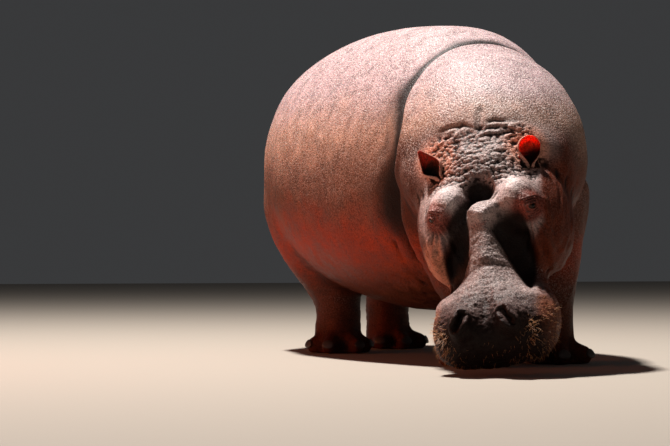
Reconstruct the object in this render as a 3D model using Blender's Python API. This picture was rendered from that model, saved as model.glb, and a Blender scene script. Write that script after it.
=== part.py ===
"""A common hippopotamus grazing with its head down, as a still life-size model.

The animal faces -Y, its left side is +X and the floor is z = 0. All sizes are metres.
Each region of the body is lofted through a few named sections, the regions are fused into one
smooth flesh, and thin cuts then part that flesh into the pieces a person would name. Eyes,
ears, tail and toenails are solids of their own, seated in pockets.
"""

from math import cos, exp, pi, radians, sin

import bmesh
import bpy
from mathutils import Matrix, Vector

# ---------------------------------------------------------------- driving sizes
GAP = 0.0003
VOXEL = 0.014
SOFTEN_PASSES = 6
BLEND_PASSES = 40
FLESH_TRIANGLES = 3150
RING_POINTS = 36
RINGS_PER_SPAN = 4

POLL = Vector((-0.371, -1.261, 0.85))
HEAD_YAW = radians(-38)
HEAD_ROLL = radians(-8)
HEAD_PITCH = radians(59.7)
HEAD = (
    Matrix.Translation(POLL)
    @ Matrix.Rotation(HEAD_YAW, 4, "Z")
    @ Matrix.Rotation(HEAD_ROLL, 4, "Y")
    @ Matrix.Rotation(HEAD_PITCH, 4, "X")
)

# A trunk section: x, y, half width, top, bottom and height of the widest point.
TRUNK = [
    (0.0, 1.16, 0.02, 0.97, 0.93, 0.95),
    (0.0, 1.14, 0.14, 1.08, 0.80, 0.94),
    (0.0, 1.06, 0.30, 1.20, 0.62, 0.92),
    (0.0, 0.88, 0.42, 1.325, 0.44, 0.88),
    (0.0, 0.65, 0.51, 1.40, 0.33, 0.84),
    (0.0, 0.35, 0.568, 1.435, 0.252, 0.80),
    (0.0, 0.05, 0.578, 1.438, 0.212, 0.76),
    (-0.01, -0.25, 0.55, 1.42, 0.205, 0.76),
    (-0.035, -0.50, 0.49, 1.38, 0.245, 0.78),
    (-0.075, -0.72, 0.41, 1.29, 0.34, 0.81),
    (-0.11, -0.90, 0.36, 1.18, 0.45, 0.83),
    (-0.14, -1.02, 0.27, 1.06, 0.57, 0.83),
    (-0.15, -1.08, 0.10, 0.93, 0.73, 0.83),
]
TRUNK_POWER = 2.0

# A neck section: centre x, y, z, half width and half height.
NECK = [
    (-0.05, -0.55, 0.90, 0.36, 0.40),
    (-0.118, -0.80, 0.87, 0.377, 0.39),
    (-0.18, -0.97, 0.81, 0.375, 0.365),
    (-0.25, -1.08, 0.745, 0.350, 0.305),
    (-0.30, -1.14, 0.69, 0.31, 0.215),
    (-0.34, -1.20, 0.64, 0.22, 0.13),
    (-0.36, -1.23, 0.61, 0.05, 0.04),
]

# A head section, in the head's own frame: y, half width, top, bottom, height of the widest
# point and how square its upper half is.
SKULL = [
    (0.17, 0.05, -0.16, -0.26, -0.20, 2.1),
    (0.13, 0.13, -0.07, -0.33, -0.18, 2.1),
    (0.05, 0.19, 0.00, -0.37, -0.17, 2.1),
    (-0.06, 0.205, 0.022, -0.40, -0.18, 2.2),
    (-0.15, 0.205, 0.00, -0.41, -0.19, 2.2),
    (-0.24, 0.195, -0.035, -0.42, -0.21, 2.0),
    (-0.33, 0.185, -0.02, -0.40, -0.24, 1.45),
    (-0.42, 0.18, -0.035, -0.385, -0.24, 1.4),
    (-0.50, 0.19, -0.042, -0.365, -0.23, 1.4),
    (-0.58, 0.218, -0.035, -0.345, -0.205, 1.8),
    (-0.66, 0.236, -0.018, -0.315, -0.18, 2.4),
    (-0.74, 0.235, -0.015, -0.285, -0.17, 2.7),
    (-0.80, 0.215, -0.05, -0.255, -0.165, 2.6),
    (-0.833, 0.16, -0.10, -0.225, -0.165, 2.3),
    (-0.845, 0.05, -0.15, -0.185, -0.17, 2.0),
]
# Lumps on the head, one side: centre, radii.
HEAD_LUMPS = [
    ((0.178, -0.215, -0.24), (0.115, 0.22, 0.20)),  # jowl
    ((0.128, -0.255, -0.035), (0.080, 0.10, 0.066)),  # eye mound
    ((0.088, -0.745, -0.02), (0.055, 0.07, 0.045)),  # nostril mound
    ((0.140, -0.66, -0.20), (0.100, 0.15, 0.11)),  # lip pad
]

# A leg: foot x, y, the way its toes point from -Y, hip x, y, and whether it is a foreleg.
LEGS = {
    "foreleg_left": (0.21, -0.71, radians(14), 0.235, -0.66, True),
    "foreleg_right": (-0.17, -0.78, radians(-8), -0.25, -0.70, True),
    "hindleg_left": (0.20, 0.87, radians(26), 0.285, 0.76, False),
    "hindleg_right": (-0.20, 0.53, radians(-14), -0.285, 0.68, False),
}
TOES = [
    # angle from the foot's own forward, reach, half width, half length, half height
    (-64, 0.090, 0.044, 0.060, 0.055),
    (-22, 0.112, 0.047, 0.070, 0.062),
    (22, 0.112, 0.047, 0.070, 0.062),
    (64, 0.090, 0.044, 0.060, 0.055),
]
NAIL = (0.027, 0.014, 0.025)
NAIL_LEAN = radians(-14)
NAIL_SUNK = 0.011
ANKLE = 0.135
LEG_TOP = 0.47

# The fold that rings the body where neck meets shoulders, as a plane across it.
FOLD_POINT = Vector((-0.10, -0.85, 1.28))
FOLD_YAW = radians(-10.5)
FOLD_DEPTH = 0.016
FOLD_WIDTH = 0.022

EYE_RADIUS = 0.026
EYE_CENTRE = (0.173, -0.291, -0.018)

# An ear: root on the head, then which way its length and its opening point.
EARS = {
    "ear_left": ((0.172, -0.082, -0.060), (-0.04, -0.20, 0.97), (-0.09, -1.0, 0.0)),
    "ear_right": ((-0.172, -0.080, -0.050), (-0.62, 0.18, 0.76), (-0.42, -0.90, -0.30)),
}
# An ear section: distance from the root, half width, half thickness.
EAR = [
    (-0.035, 0.019, 0.016),
    (0.0, 0.021, 0.018),
    (0.025, 0.034, 0.021),
    (0.052, 0.043, 0.024),
    (0.080, 0.040, 0.021),
    (0.102, 0.026, 0.014),
    (0.114, 0.006, 0.004),
]
EAR_BOWL = ((0, -0.018, 0.062), (0.034, 0.026, 0.044))

# A tail section: x, y, z, half width and half thickness.
TAIL = [
    (0.0, 1.06, 0.965, 0.050, 0.034),
    (0.0, 1.145, 0.93, 0.050, 0.034),
    (0.0, 1.19, 0.84, 0.046, 0.028),
    (0.0, 1.205, 0.72, 0.042, 0.022),
    (0.0, 1.213, 0.60, 0.036, 0.016),
    (0.0, 1.217, 0.53, 0.022, 0.010),
]

# Colour, roughness of each surface.
FINISHES = {
    "hide": ((0.22, 0.12, 0.10, 1), 0.62),
    "ear_hide": ((0.42, 0.14, 0.09, 1), 0.55),
    "eye_gloss": ((0.03, 0.015, 0.008, 1), 0.08),
    "nail_horn": ((0.10, 0.07, 0.05, 1), 0.45),
}


def spline(values, span, share):
    """One coordinate of a smooth curve through the values, share of the way along a span."""
    last = len(values) - 1
    p0, p1 = values[max(span - 1, 0)], values[span]
    p2, p3 = values[span + 1], values[min(span + 2, last)]
    linear = p2 - p0
    square = 2 * p0 - 5 * p1 + 4 * p2 - p3
    cube = 3 * p1 - p0 - 3 * p2 + p3
    return p1 + 0.5 * (linear + (square + cube * share) * share) * share


def between(stations, rings=RINGS_PER_SPAN):
    """The stations with smooth in-between ones added."""
    made = []
    for span in range(len(stations) - 1):
        for step in range(rings):
            share = step / rings
            made.append([spline(column, span, share) for column in zip(*stations)])
    return made + [list(stations[-1])]


def rounded(angle, power):
    """A point of the unit superellipse, squarer as power rises over 2."""
    c, s = cos(angle), sin(angle)
    bent = 2 / power
    return abs(c) ** bent * (1 if c > 0 else -1), abs(s) ** bent * (1 if s > 0 else -1)


def bridge(mesh, rings):
    """Joins rings of points into a closed tube with end caps."""
    made = [[mesh.verts.new(point) for point in ring] for ring in rings]
    for near, far in zip(made, made[1:]):
        for i in range(len(near)):
            j = (i + 1) % len(near)
            mesh.faces.new((near[i], near[j], far[j], far[i]))
    mesh.faces.new(made[0])
    mesh.faces.new(made[-1])


def barrel(mesh, stations, place=Matrix.Identity(4), under=2.1):
    """A loft along Y of x, y, half width, top, bottom, widest height and upper power."""
    rings = []
    for x, y, half, top, bottom, middle, over in between(stations):
        ring = []
        for i in range(RING_POINTS):
            angle = 2 * pi * i / RING_POINTS
            c, s = rounded(angle, over if angle < pi else under)
            height = top - middle if s > 0 else middle - bottom
            ring.append(place @ Vector((x + half * c, y, middle + height * s)))
        rings.append(ring)
    bridge(mesh, rings)


def tube(mesh, stations, points=RING_POINTS, rings_per_span=RINGS_PER_SPAN):
    """A loft along a path of x, y, z, half width and half height, each ring square to it."""
    filled = between(stations, rings_per_span)
    rings = []
    for i, (x, y, z, half, tall) in enumerate(filled):
        before = Vector(filled[max(i - 1, 0)][:3])
        after = Vector(filled[min(i + 1, len(filled) - 1)][:3])
        ahead = (after - before).normalized()
        side = ahead.cross(Vector((0, 0, 1))).normalized()
        up = side.cross(ahead)
        ring = []
        for k in range(points):
            c, s = rounded(2 * pi * k / points, 2.1)
            ring.append(Vector((x, y, z)) + side * (half * c) + up * (tall * s))
        rings.append(ring)
    bridge(mesh, rings)


def column(mesh, stations, points=RING_POINTS, rings_per_span=RINGS_PER_SPAN, swell=1.0):
    """A loft down Z of x, y, z, half size across and half size fore and aft."""
    rings = []
    for x, y, z, across, along in between(stations, rings_per_span):
        ring = []
        for i in range(points):
            c, s = rounded(2 * pi * i / points, 2.1)
            ring.append(Vector((x + across * swell * c, y + along * swell * s, z)))
        rings.append(ring)
    bridge(mesh, rings)


def ball(mesh, centre, radii, place=Matrix.Identity(4), fine=24):
    """An ellipsoid at a centre in the frame of place."""
    matrix = place @ Matrix.Translation(centre) @ Matrix.Diagonal((*radii, 1))
    bmesh.ops.create_uvsphere(
        mesh, u_segments=fine, v_segments=fine * 2 // 3, radius=1, matrix=matrix
    )


def made_object(name, mesh):
    """A linked object from a bmesh, as triangles turned outward."""
    bmesh.ops.recalc_face_normals(mesh, faces=mesh.faces)
    bmesh.ops.triangulate(mesh, faces=mesh.faces)
    data = bpy.data.meshes.new(name)
    mesh.to_mesh(data)
    mesh.free()
    made = bpy.data.objects.new(name, data)
    bpy.context.scene.collection.objects.link(made)
    return made


def baked(thing):
    """Applies an object's modifiers."""
    bpy.context.view_layer.update()
    graph = bpy.context.evaluated_depsgraph_get()
    data = bpy.data.meshes.new_from_object(thing.evaluated_get(graph))
    thing.modifiers.clear()
    thing.data = data
    return thing


def combined(thing, other, operation):
    """Applies an exact boolean of one object with another."""
    step = thing.modifiers.new(operation, "BOOLEAN")
    step.operation = operation
    step.solver = "EXACT"
    step.object = other
    return baked(thing)


def copy_of(thing, name, swell=0.0):
    """A copy, pushed out along its normals by swell."""
    data = thing.data.copy()
    made = bpy.data.objects.new(name, data)
    bpy.context.scene.collection.objects.link(made)
    if swell:
        normals = [vertex.normal.copy() for vertex in data.vertices]
        for vertex, normal in zip(data.vertices, normals):
            vertex.co += normal * swell
    return made


def without_crumbs(thing):
    """Keeps the largest connected body of a mesh, dropping slivers a cut left loose."""
    mesh = bmesh.new()
    mesh.from_mesh(thing.data)
    waiting = set(mesh.verts)
    bodies = []
    while waiting:
        body = set()
        edge_of_body = {waiting.pop()}
        while edge_of_body:
            body |= edge_of_body
            edge_of_body = {
                edge.other_vert(vertex) for vertex in edge_of_body for edge in vertex.link_edges
            } - body
        waiting -= body
        bodies.append(body)
    bodies.sort(key=len)
    for crumb in bodies[:-1]:
        bmesh.ops.delete(mesh, geom=list(crumb), context="VERTS")
    mesh.to_mesh(thing.data)
    mesh.free()


def seat(body, piece):
    """Cuts a close pocket for a piece out of a body."""
    cutter = copy_of(piece, piece.name + "_pocket", GAP)
    combined(body, cutter, "DIFFERENCE")
    bpy.data.objects.remove(cutter)
    without_crumbs(body)


def parted(body, name, region):
    """Takes the piece of a body inside a region off it, leaving a thin gap."""
    piece = copy_of(body, name)
    combined(piece, region, "INTERSECT")
    wider = copy_of(region, name + "_wider", GAP)
    combined(body, wider, "DIFFERENCE")
    bpy.data.objects.remove(wider)
    bpy.data.objects.remove(region)
    return piece


def block(name, low, high, place=Matrix.Identity(4)):
    """A box between two corners in the frame of place."""
    mesh = bmesh.new()
    centre = (Vector(low) + Vector(high)) / 2
    size = Vector(high) - Vector(low)
    matrix = place @ Matrix.Translation(centre) @ Matrix.Diagonal((*size, 1))
    bmesh.ops.create_cube(mesh, size=1, matrix=matrix)
    return made_object(name, mesh)


def leg_stations(x, y, hip_x, hip_y, fore):
    """The sections of one leg from deep inside the trunk to the ankle."""
    knee_x, knee_y = 0.45 * hip_x + 0.55 * x, 0.45 * hip_y + 0.55 * y
    thigh_x, thigh_y = 0.8 * hip_x + 0.2 * x, 0.8 * hip_y + 0.2 * y
    if fore:
        return [
            (0.55 * hip_x, hip_y, 0.96, 0.05, 0.06),
            (0.75 * hip_x, hip_y, 0.88, 0.15, 0.18),
            (hip_x, hip_y, 0.70, 0.155, 0.20),
            (thigh_x, thigh_y, 0.52, 0.148, 0.17),
            (knee_x, knee_y, 0.36, 0.122, 0.132),
            (x, y, 0.22, 0.102, 0.108),
            (x, y, 0.12, 0.102, 0.108),
            (x, y, 0.05, 0.105, 0.112),
            (x, y, -0.03, 0.095, 0.10),
        ]
    return [
        (0.45 * hip_x, hip_y, 1.02, 0.05, 0.08),
        (0.70 * hip_x, hip_y, 0.92, 0.17, 0.24),
        (hip_x, hip_y, 0.72, 0.195, 0.29),
        (thigh_x, thigh_y, 0.52, 0.185, 0.240),
        (knee_x, knee_y, 0.36, 0.145, 0.160),
        (x, y, 0.22, 0.106, 0.108),
        (x, y, 0.12, 0.102, 0.106),
        (x, y, 0.05, 0.105, 0.110),
        (x, y, -0.03, 0.095, 0.10),
    ]


def toe_frame(x, y, turn, angle):
    """A frame at a foot's centre whose -Y runs out along one toe."""
    return Matrix.Translation((x, y, 0)) @ Matrix.Rotation(turn + radians(angle), 4, "Z")


def raw_flesh():
    """All regions of the body as overlapping closed lofts."""
    mesh = bmesh.new()
    barrel(mesh, [(*station, TRUNK_POWER) for station in TRUNK])
    tube(mesh, NECK)
    barrel(mesh, [(0.0, *station) for station in SKULL], HEAD, 2.3)
    for side in (-1, 1):
        for (x, y, z), radii in HEAD_LUMPS:
            ball(mesh, (side * x, y, z), radii, HEAD)
    for x, y, turn, hip_x, hip_y, fore in LEGS.values():
        column(mesh, leg_stations(x, y, hip_x, hip_y, fore))
        for angle, reach, *radii in TOES:
            ball(mesh, (0, -reach, 0.028), radii, toe_frame(x, y, turn, angle), 16)
    return made_object("flesh", mesh)


def pressed(point, centre, radii, depth, inward):
    """How far a soft round dent at a centre moves a point."""
    away = point - Vector(centre)
    spread = sum((away[i] / radii[i]) ** 2 for i in range(3))
    return inward * (depth * exp(-spread))


def sculpted(flesh):
    """Presses in the hollows of the face and the deep fold round the neck."""
    to_head = HEAD.inverted()
    head_turn = HEAD.to_3x3()
    fold_normal = Matrix.Rotation(FOLD_YAW, 3, "Z") @ Vector((0, -1, 0))
    normals = [vertex.normal.copy() for vertex in flesh.data.vertices]
    for vertex, normal in zip(flesh.data.vertices, normals):
        local = to_head @ vertex.co
        inward = head_turn.inverted() @ -normal
        move = Vector()
        for side in (-1, 1):
            move += pressed(
                local, (side * 0.105, -0.42, -0.075), (0.05, 0.10, 0.12), 0.028, inward
            )
        move += pressed(local, (0, -0.215, -0.03), (0.05, 0.05, 0.08), 0.02, inward)
        off = (vertex.co - FOLD_POINT).dot(fold_normal)
        above = min(max((vertex.co.z - 0.45) / 0.3, 0), 1)
        fold = -normal * (FOLD_DEPTH * above * exp(-((off / FOLD_WIDTH) ** 2)))
        vertex.co += head_turn @ move + fold


def grounded(flesh):
    """Cuts the soles flat on the floor."""
    mesh = bmesh.new()
    mesh.from_mesh(flesh.data)
    geometry = mesh.verts[:] + mesh.edges[:] + mesh.faces[:]
    bmesh.ops.bisect_plane(
        mesh, geom=geometry, plane_co=(0, 0, 0), plane_no=(0, 0, -1), clear_outer=True
    )
    rim = [edge for edge in mesh.edges if edge.is_boundary]
    bmesh.ops.edgeloop_fill(mesh, edges=rim)
    bmesh.ops.triangulate(mesh, faces=mesh.faces)
    mesh.to_mesh(flesh.data)
    mesh.free()


def blended(flesh):
    """Softens where shoulders and thighs join the trunk, leaving head and feet crisp."""
    group = flesh.vertex_groups.new(name="body")
    to_head = HEAD.inverted()
    for vertex in flesh.data.vertices:
        off_feet = min(max((vertex.co.z - 0.22) / 0.15, 0), 1)
        off_head = min(max(((to_head @ vertex.co).y - 0.02) / 0.12, 0), 1)
        group.add([vertex.index], off_feet * off_head, "REPLACE")
    soften = flesh.modifiers.new("blend", "SMOOTH")
    soften.vertex_group = "body"
    soften.iterations = BLEND_PASSES
    soften.factor = 0.5
    return baked(flesh)


def thinned(flesh, triangles):
    """Reduces a mesh to a number of triangles, keeping the most where it curves most."""
    data = flesh.data
    data.calc_loop_triangles()
    thin = flesh.modifiers.new("thin", "DECIMATE")
    thin.ratio = triangles / len(data.loop_triangles)
    return baked(flesh)


def ear_solid(name, head, root, length_way, open_way):
    """A cupped ear with its root sunk in a pocket of the head."""
    up = Vector(length_way).normalized()
    out = Vector(open_way)
    out = (out - up * out.dot(up)).normalized()
    across = up.cross(out)
    turn = Matrix((across, -out, up)).transposed().to_4x4()
    place = Matrix.Translation(HEAD @ Vector(root)) @ turn
    shell = bmesh.new()
    rings = []
    for along, half, thick in between(EAR, 2):
        ring = []
        for i in range(12):
            c, s = rounded(2 * pi * i / 12, 2.0)
            ring.append(place @ Vector((half * c, thick * s, along)))
        rings.append(ring)
    bridge(shell, rings)
    ear = made_object(name, shell)
    seat(head, ear)
    bowl = bmesh.new()
    ball(bowl, *EAR_BOWL, place, 11)
    cutter = made_object(name + "_bowl", bowl)
    combined(ear, cutter, "DIFFERENCE")
    bpy.data.objects.remove(cutter)
    return ear


def eye_solid(name, side):
    mesh = bmesh.new()
    x, y, z = EYE_CENTRE
    ball(mesh, (side * x, y, z), (EYE_RADIUS,) * 3, HEAD, 12)
    return made_object(name, mesh)


def nail_solid(name, place, reach):
    mesh = bmesh.new()
    tilt = Matrix.Rotation(NAIL_LEAN, 4, "X")
    where = place @ Matrix.Translation((0, -reach, 0.037)) @ tilt
    ball(mesh, (0, 0, 0), NAIL, where, 7)
    return made_object(name, mesh)


def part_legs(flesh):
    """Parts feet and legs from the flesh, then seats the nails in the feet."""
    pieces = {}
    for leg, (x, y, turn, hip_x, hip_y, fore) in LEGS.items():
        foot = leg.replace("leg", "foot")
        low, high = (x - 0.185, y - 0.24, -0.1), (x + 0.185, y + 0.20, ANKLE)
        pieces[foot] = parted(flesh, foot, block(foot + "_region", low, high))
        region = bmesh.new()
        shaft = [row for row in leg_stations(x, y, hip_x, hip_y, fore) if 0.1 < row[2] < 0.6]
        knee, hip = shaft[1], shaft[0]
        share = (LEG_TOP - knee[2]) / (hip[2] - knee[2])
        shaft[0] = tuple(k + (h - k) * share for k, h in zip(knee, hip))
        column(region, shaft, 12, 2, 1.2)
        pieces[leg] = parted(flesh, leg, made_object(leg + "_region", region))
        for number, (angle, reach, _, long, _) in enumerate(TOES, 1):
            name = f"{foot}_nail_{number}"
            place = toe_frame(x, y, turn, angle)
            pieces[name] = nail_solid(name, place, reach + long - NAIL_SUNK)
            seat(pieces[foot], pieces[name])
    return pieces


def part_head(flesh):
    """Parts head, lower jaw and neck from the flesh and seats eyes, ears and tail."""
    pieces = {}
    back = HEAD @ Matrix.Translation((0, 0.055, 0)) @ Matrix.Rotation(radians(-28), 4, "X")
    region = block("head_region", (-0.5, -1.2, -0.85), (0.5, 0, 0.4), back)
    pieces["head"] = parted(flesh, "head", region)
    chin = HEAD @ Matrix.Translation((0, 0, -0.235)) @ Matrix.Rotation(radians(3), 4, "X")
    region = block("jaw_region", (-0.4, -1.0, -0.4), (0.4, -0.36, 0), chin)
    pieces["lower_jaw"] = parted(pieces["head"], "lower_jaw", region)
    fold = Matrix.Translation(FOLD_POINT) @ Matrix.Rotation(FOLD_YAW, 4, "Z")
    region = block("neck_region", (-0.9, -1.2, -1.2), (0.9, 0, 0.4), fold)
    pieces["neck"] = parted(flesh, "neck", region)
    for name, side in (("eye_left", 1), ("eye_right", -1)):
        pieces[name] = eye_solid(name, side)
        seat(pieces["head"], pieces[name])
    for name, (root, length_way, open_way) in EARS.items():
        pieces[name] = ear_solid(name, pieces["head"], root, length_way, open_way)
    tail = bmesh.new()
    tube(tail, TAIL, 12, 2)
    pieces["tail"] = made_object("tail", tail)
    seat(flesh, pieces["tail"])
    return pieces


def finish_of(name):
    """The name of the surface a piece has."""
    if name.startswith("eye"):
        return "eye_gloss"
    if "nail" in name:
        return "nail_horn"
    return "ear_hide" if name.startswith("ear") else "hide"


def coloured(pieces):
    """Gives every piece its own material."""
    for name, piece in pieces.items():
        colour, roughness = FINISHES[finish_of(name)]
        material = bpy.data.materials.new(f"{finish_of(name)}_{name}")
        material.use_nodes = True
        shader = material.node_tree.nodes["Principled BSDF"]
        shader.inputs["Base Color"].default_value = colour
        shader.inputs["Roughness"].default_value = roughness
        shader.inputs["Metallic"].default_value = 0.0
        piece.data.materials.clear()
        piece.data.materials.append(material)


def centred(pieces):
    """Moves everything so the bounding box is centred on the origin in plan."""
    points = [vertex.co for piece in pieces.values() for vertex in piece.data.vertices]
    shift = Vector((0, 0, 0))
    for axis in (0, 1):
        values = [point[axis] for point in points]
        shift[axis] = -(min(values) + max(values)) / 2
    for piece in pieces.values():
        piece.data.transform(Matrix.Translation(shift))
    print("centred by", [round(value, 4) for value in shift])


def main():
    for old in list(bpy.data.objects):
        bpy.data.objects.remove(old)
    flesh = raw_flesh()
    fuse = flesh.modifiers.new("fuse", "REMESH")
    fuse.mode = "VOXEL"
    fuse.voxel_size = VOXEL
    soften = flesh.modifiers.new("soften", "SMOOTH")
    soften.iterations = SOFTEN_PASSES
    soften.factor = 0.5
    baked(flesh)
    blended(flesh)
    sculpted(flesh)
    thinned(flesh, FLESH_TRIANGLES)
    grounded(flesh)
    pieces = part_legs(flesh)
    pieces.update(part_head(flesh))
    flesh.name = "trunk"
    pieces["trunk"] = flesh
    coloured(pieces)
    centred(pieces)


main()
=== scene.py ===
"""The looks of a still, life-size common hippopotamus, grazing with its head down.

The animal's flesh becomes one hide: the solids are fused, softened and thinned, and folds,
wrinkles, lids and nostrils are then pressed into it. Eyes, toenails and bristles are pieces of
their own. All sizes are metres, the animal faces -Y and its left side is +X.
"""

from __future__ import annotations

import itertools
import logging
import math
from dataclasses import dataclass, field
from enum import Enum

import bmesh
import bpy
import numpy as np
from mathutils import Matrix, Vector
from mathutils.bvhtree import BVHTree


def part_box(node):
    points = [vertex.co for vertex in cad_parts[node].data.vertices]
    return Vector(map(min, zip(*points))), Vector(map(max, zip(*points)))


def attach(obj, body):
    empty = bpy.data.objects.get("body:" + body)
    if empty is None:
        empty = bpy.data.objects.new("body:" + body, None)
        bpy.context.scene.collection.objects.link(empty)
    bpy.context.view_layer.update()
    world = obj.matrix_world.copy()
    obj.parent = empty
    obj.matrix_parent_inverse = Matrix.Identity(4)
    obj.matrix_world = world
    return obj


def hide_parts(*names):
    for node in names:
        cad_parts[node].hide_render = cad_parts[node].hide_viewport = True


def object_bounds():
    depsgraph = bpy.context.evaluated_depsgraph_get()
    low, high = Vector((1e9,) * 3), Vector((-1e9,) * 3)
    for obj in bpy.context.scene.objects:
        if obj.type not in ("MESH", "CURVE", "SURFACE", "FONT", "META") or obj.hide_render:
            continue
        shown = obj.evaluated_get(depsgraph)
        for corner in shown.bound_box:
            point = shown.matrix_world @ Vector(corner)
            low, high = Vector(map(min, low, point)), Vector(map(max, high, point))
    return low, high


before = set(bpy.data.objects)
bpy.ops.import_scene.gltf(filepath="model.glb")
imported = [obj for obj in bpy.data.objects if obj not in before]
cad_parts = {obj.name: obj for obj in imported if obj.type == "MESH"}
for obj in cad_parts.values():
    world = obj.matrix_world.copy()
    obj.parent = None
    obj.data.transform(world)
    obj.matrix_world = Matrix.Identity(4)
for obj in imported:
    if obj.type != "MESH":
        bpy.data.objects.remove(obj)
CAD_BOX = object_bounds()

LOG = logging.getLogger("hippopotamus")
BODY = "root"
MM = 0.001
FEET = ("forefoot", "hindfoot")
LIMBS = ("foreleg", "hindleg", *FEET)
Triple = tuple[float, float, float]


class Side(Enum):
    """The two sides of the animal, as the sign of X."""

    LEFT = 1
    RIGHT = -1

    @property
    def word(self) -> str:
        """The side's name as the pieces spell it."""
        return self.name.lower()


# ------------------------------------------------------------------ small helpers
def smooth(value: np.ndarray, low: float | np.ndarray, high: float | np.ndarray) -> np.ndarray:
    """A soft step.

    Args:
        value: The numbers to read.
        low: Where the step starts, at 0.
        high: Where it ends, at 1. It may be less than low.

    Returns:
        Numbers from 0 to 1.
    """
    share = np.clip((value - low) / (high - low), 0, 1)
    return share * share * (3 - 2 * share)


def within(value: np.ndarray, low: float, high: float, edge: float) -> np.ndarray:
    """1 between two limits, fading to 0 over an edge outside each of them."""
    return smooth(value, low - edge, low) * smooth(value, high + edge, high)


def bell(value: np.ndarray, width: float | np.ndarray) -> np.ndarray:
    """A soft ridge over a number: 1 where it is 0, and next to nothing two widths away."""
    return np.exp(-((value / width) ** 2))


def line_distance(points: np.ndarray, path: tuple[tuple[float, ...], ...]) -> np.ndarray:
    """How far each point is from a path of straight stretches.

    Args:
        points: The points, with as many columns as the path has coordinates.
        path: The path's own points.

    Returns:
        The distance to the nearest stretch.
    """
    nearest = np.full(len(points), np.inf)
    for start, end in zip(path, path[1:]):
        a = np.array(start)
        b = np.array(end)
        along = np.clip((points - a) @ (b - a) / ((b - a) @ (b - a)), 0, 1)
        gap = np.linalg.norm(points - a - along[:, None] * (b - a), axis=1)
        nearest = np.minimum(nearest, gap)
    return nearest


@dataclass(frozen=True)
class Hill:
    """A soft round hill or, with a negative height, a hollow."""

    centre: Triple
    radii: Triple
    height: float = 1.0

    def at(self, points: np.ndarray) -> np.ndarray:
        """How high it stands at each point."""
        away = (points - np.array(self.centre)) / np.array(self.radii)
        return self.height * np.exp(-(away**2).sum(axis=1))


@dataclass(frozen=True)
class Crease:
    """A line pressed into the hide: its route, its half width and its depth."""

    route: tuple[tuple[float, ...], ...]
    width: float
    depth: float

    def at(self, points: np.ndarray) -> np.ndarray:
        """How near each point is to the line: 1 on it, and next to 0 two widths away."""
        return bell(line_distance(points, self.route), self.width)


@dataclass(frozen=True)
class Wrinkles:
    """A patch of wrinkles or cobbles: how long one is along each axis, and how high."""

    size: Triple
    height: float


class Grain:
    """Smooth seeded noise in space, for shape that follows no rule."""

    cells = 64
    wobble = 0.35
    scatter = 0.38
    cobble_reach = 0.72

    def __init__(self, seed: int) -> None:
        """Fills the lattice, which repeats after its number of cells.

        Args:
            seed: Picks the pattern.
        """
        self.table = np.random.default_rng(seed).uniform(-1, 1, (self.cells,) * 3)

    def at(self, points: np.ndarray, size: float | Triple) -> np.ndarray:
        """Reads the noise.

        Args:
            points: Where to read it.
            size: The width of one cell, the same each way or one for each axis.

        Returns:
            Numbers from -1 to 1.
        """
        place = points / np.array(size)
        base = np.floor(place).astype(int)
        share = place - base
        share = share * share * (3 - 2 * share)
        total = np.zeros(len(points))
        for corner in itertools.product((0, 1), repeat=3):
            weight = np.prod(np.where(corner, share, 1 - share), axis=1)
            x, y, z = ((base + corner) % self.cells).T
            total += weight * self.table[x, y, z]
        return total

    def cobbles(self, points: np.ndarray, size: Triple, among: np.ndarray) -> np.ndarray:
        """Round cobbles with narrow valleys between them.

        Args:
            points: Where to read them.
            size: The width of one cobble along each axis.
            among: Which points matter; the others read 0.

        Returns:
            Numbers from -1 in a valley to 1 on a top.
        """
        chosen = np.nonzero(among)[0]
        place = points[chosen] / np.array(size)
        bent = [self.at(place + 9.1 * axis, 1.7) for axis in range(3)]
        place = place + self.wobble * np.column_stack(bent)
        base = np.floor(place).astype(int)
        nearest = np.full(len(chosen), np.inf)
        for corner in itertools.product((-1, 0, 1), repeat=3):
            cell = base + corner
            x, y, z = (cell % self.cells).T
            seeds = [self.table[x, y, z], self.table[y, z, x], self.table[z, x, y]]
            seed = cell + 0.5 + self.scatter * np.column_stack(seeds)
            nearest = np.minimum(nearest, np.linalg.norm(place - seed, axis=1))
        height = np.zeros(len(points))
        height[chosen] = 1 - 2 * np.clip((nearest / self.cobble_reach) ** 2, 0, 1)
        return height


# ------------------------------------------------------------------ mesh helpers
def coordinates(mesh: bpy.types.Mesh) -> np.ndarray:
    """Reads where a mesh's points are.

    Args:
        mesh: The mesh.

    Returns:
        The points, one row each.
    """
    flat = np.empty(len(mesh.vertices) * 3, np.float32)
    mesh.vertices.foreach_get("co", flat)
    return flat.reshape(-1, 3).astype(float)


def normals_of(mesh: bpy.types.Mesh) -> np.ndarray:
    """Reads which way a mesh's points face.

    Args:
        mesh: The mesh.

    Returns:
        The point normals, one row each.
    """
    flat = np.empty(len(mesh.vertices) * 3, np.float32)
    mesh.vertex_normals.foreach_get("vector", flat)
    return flat.reshape(-1, 3).astype(float)


def move_to(mesh: bpy.types.Mesh, points: np.ndarray) -> None:
    """Puts a mesh's points where told."""
    mesh.vertices.foreach_set("co", points.astype(np.float32).ravel())
    mesh.update()


def edges_of(mesh: bpy.types.Mesh) -> np.ndarray:
    """Reads a mesh's edges.

    Args:
        mesh: The mesh.

    Returns:
        Pairs of point numbers.
    """
    flat = np.empty(len(mesh.edges) * 2, np.int32)
    mesh.edges.foreach_get("vertices", flat)
    return flat.reshape(-1, 2)


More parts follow.
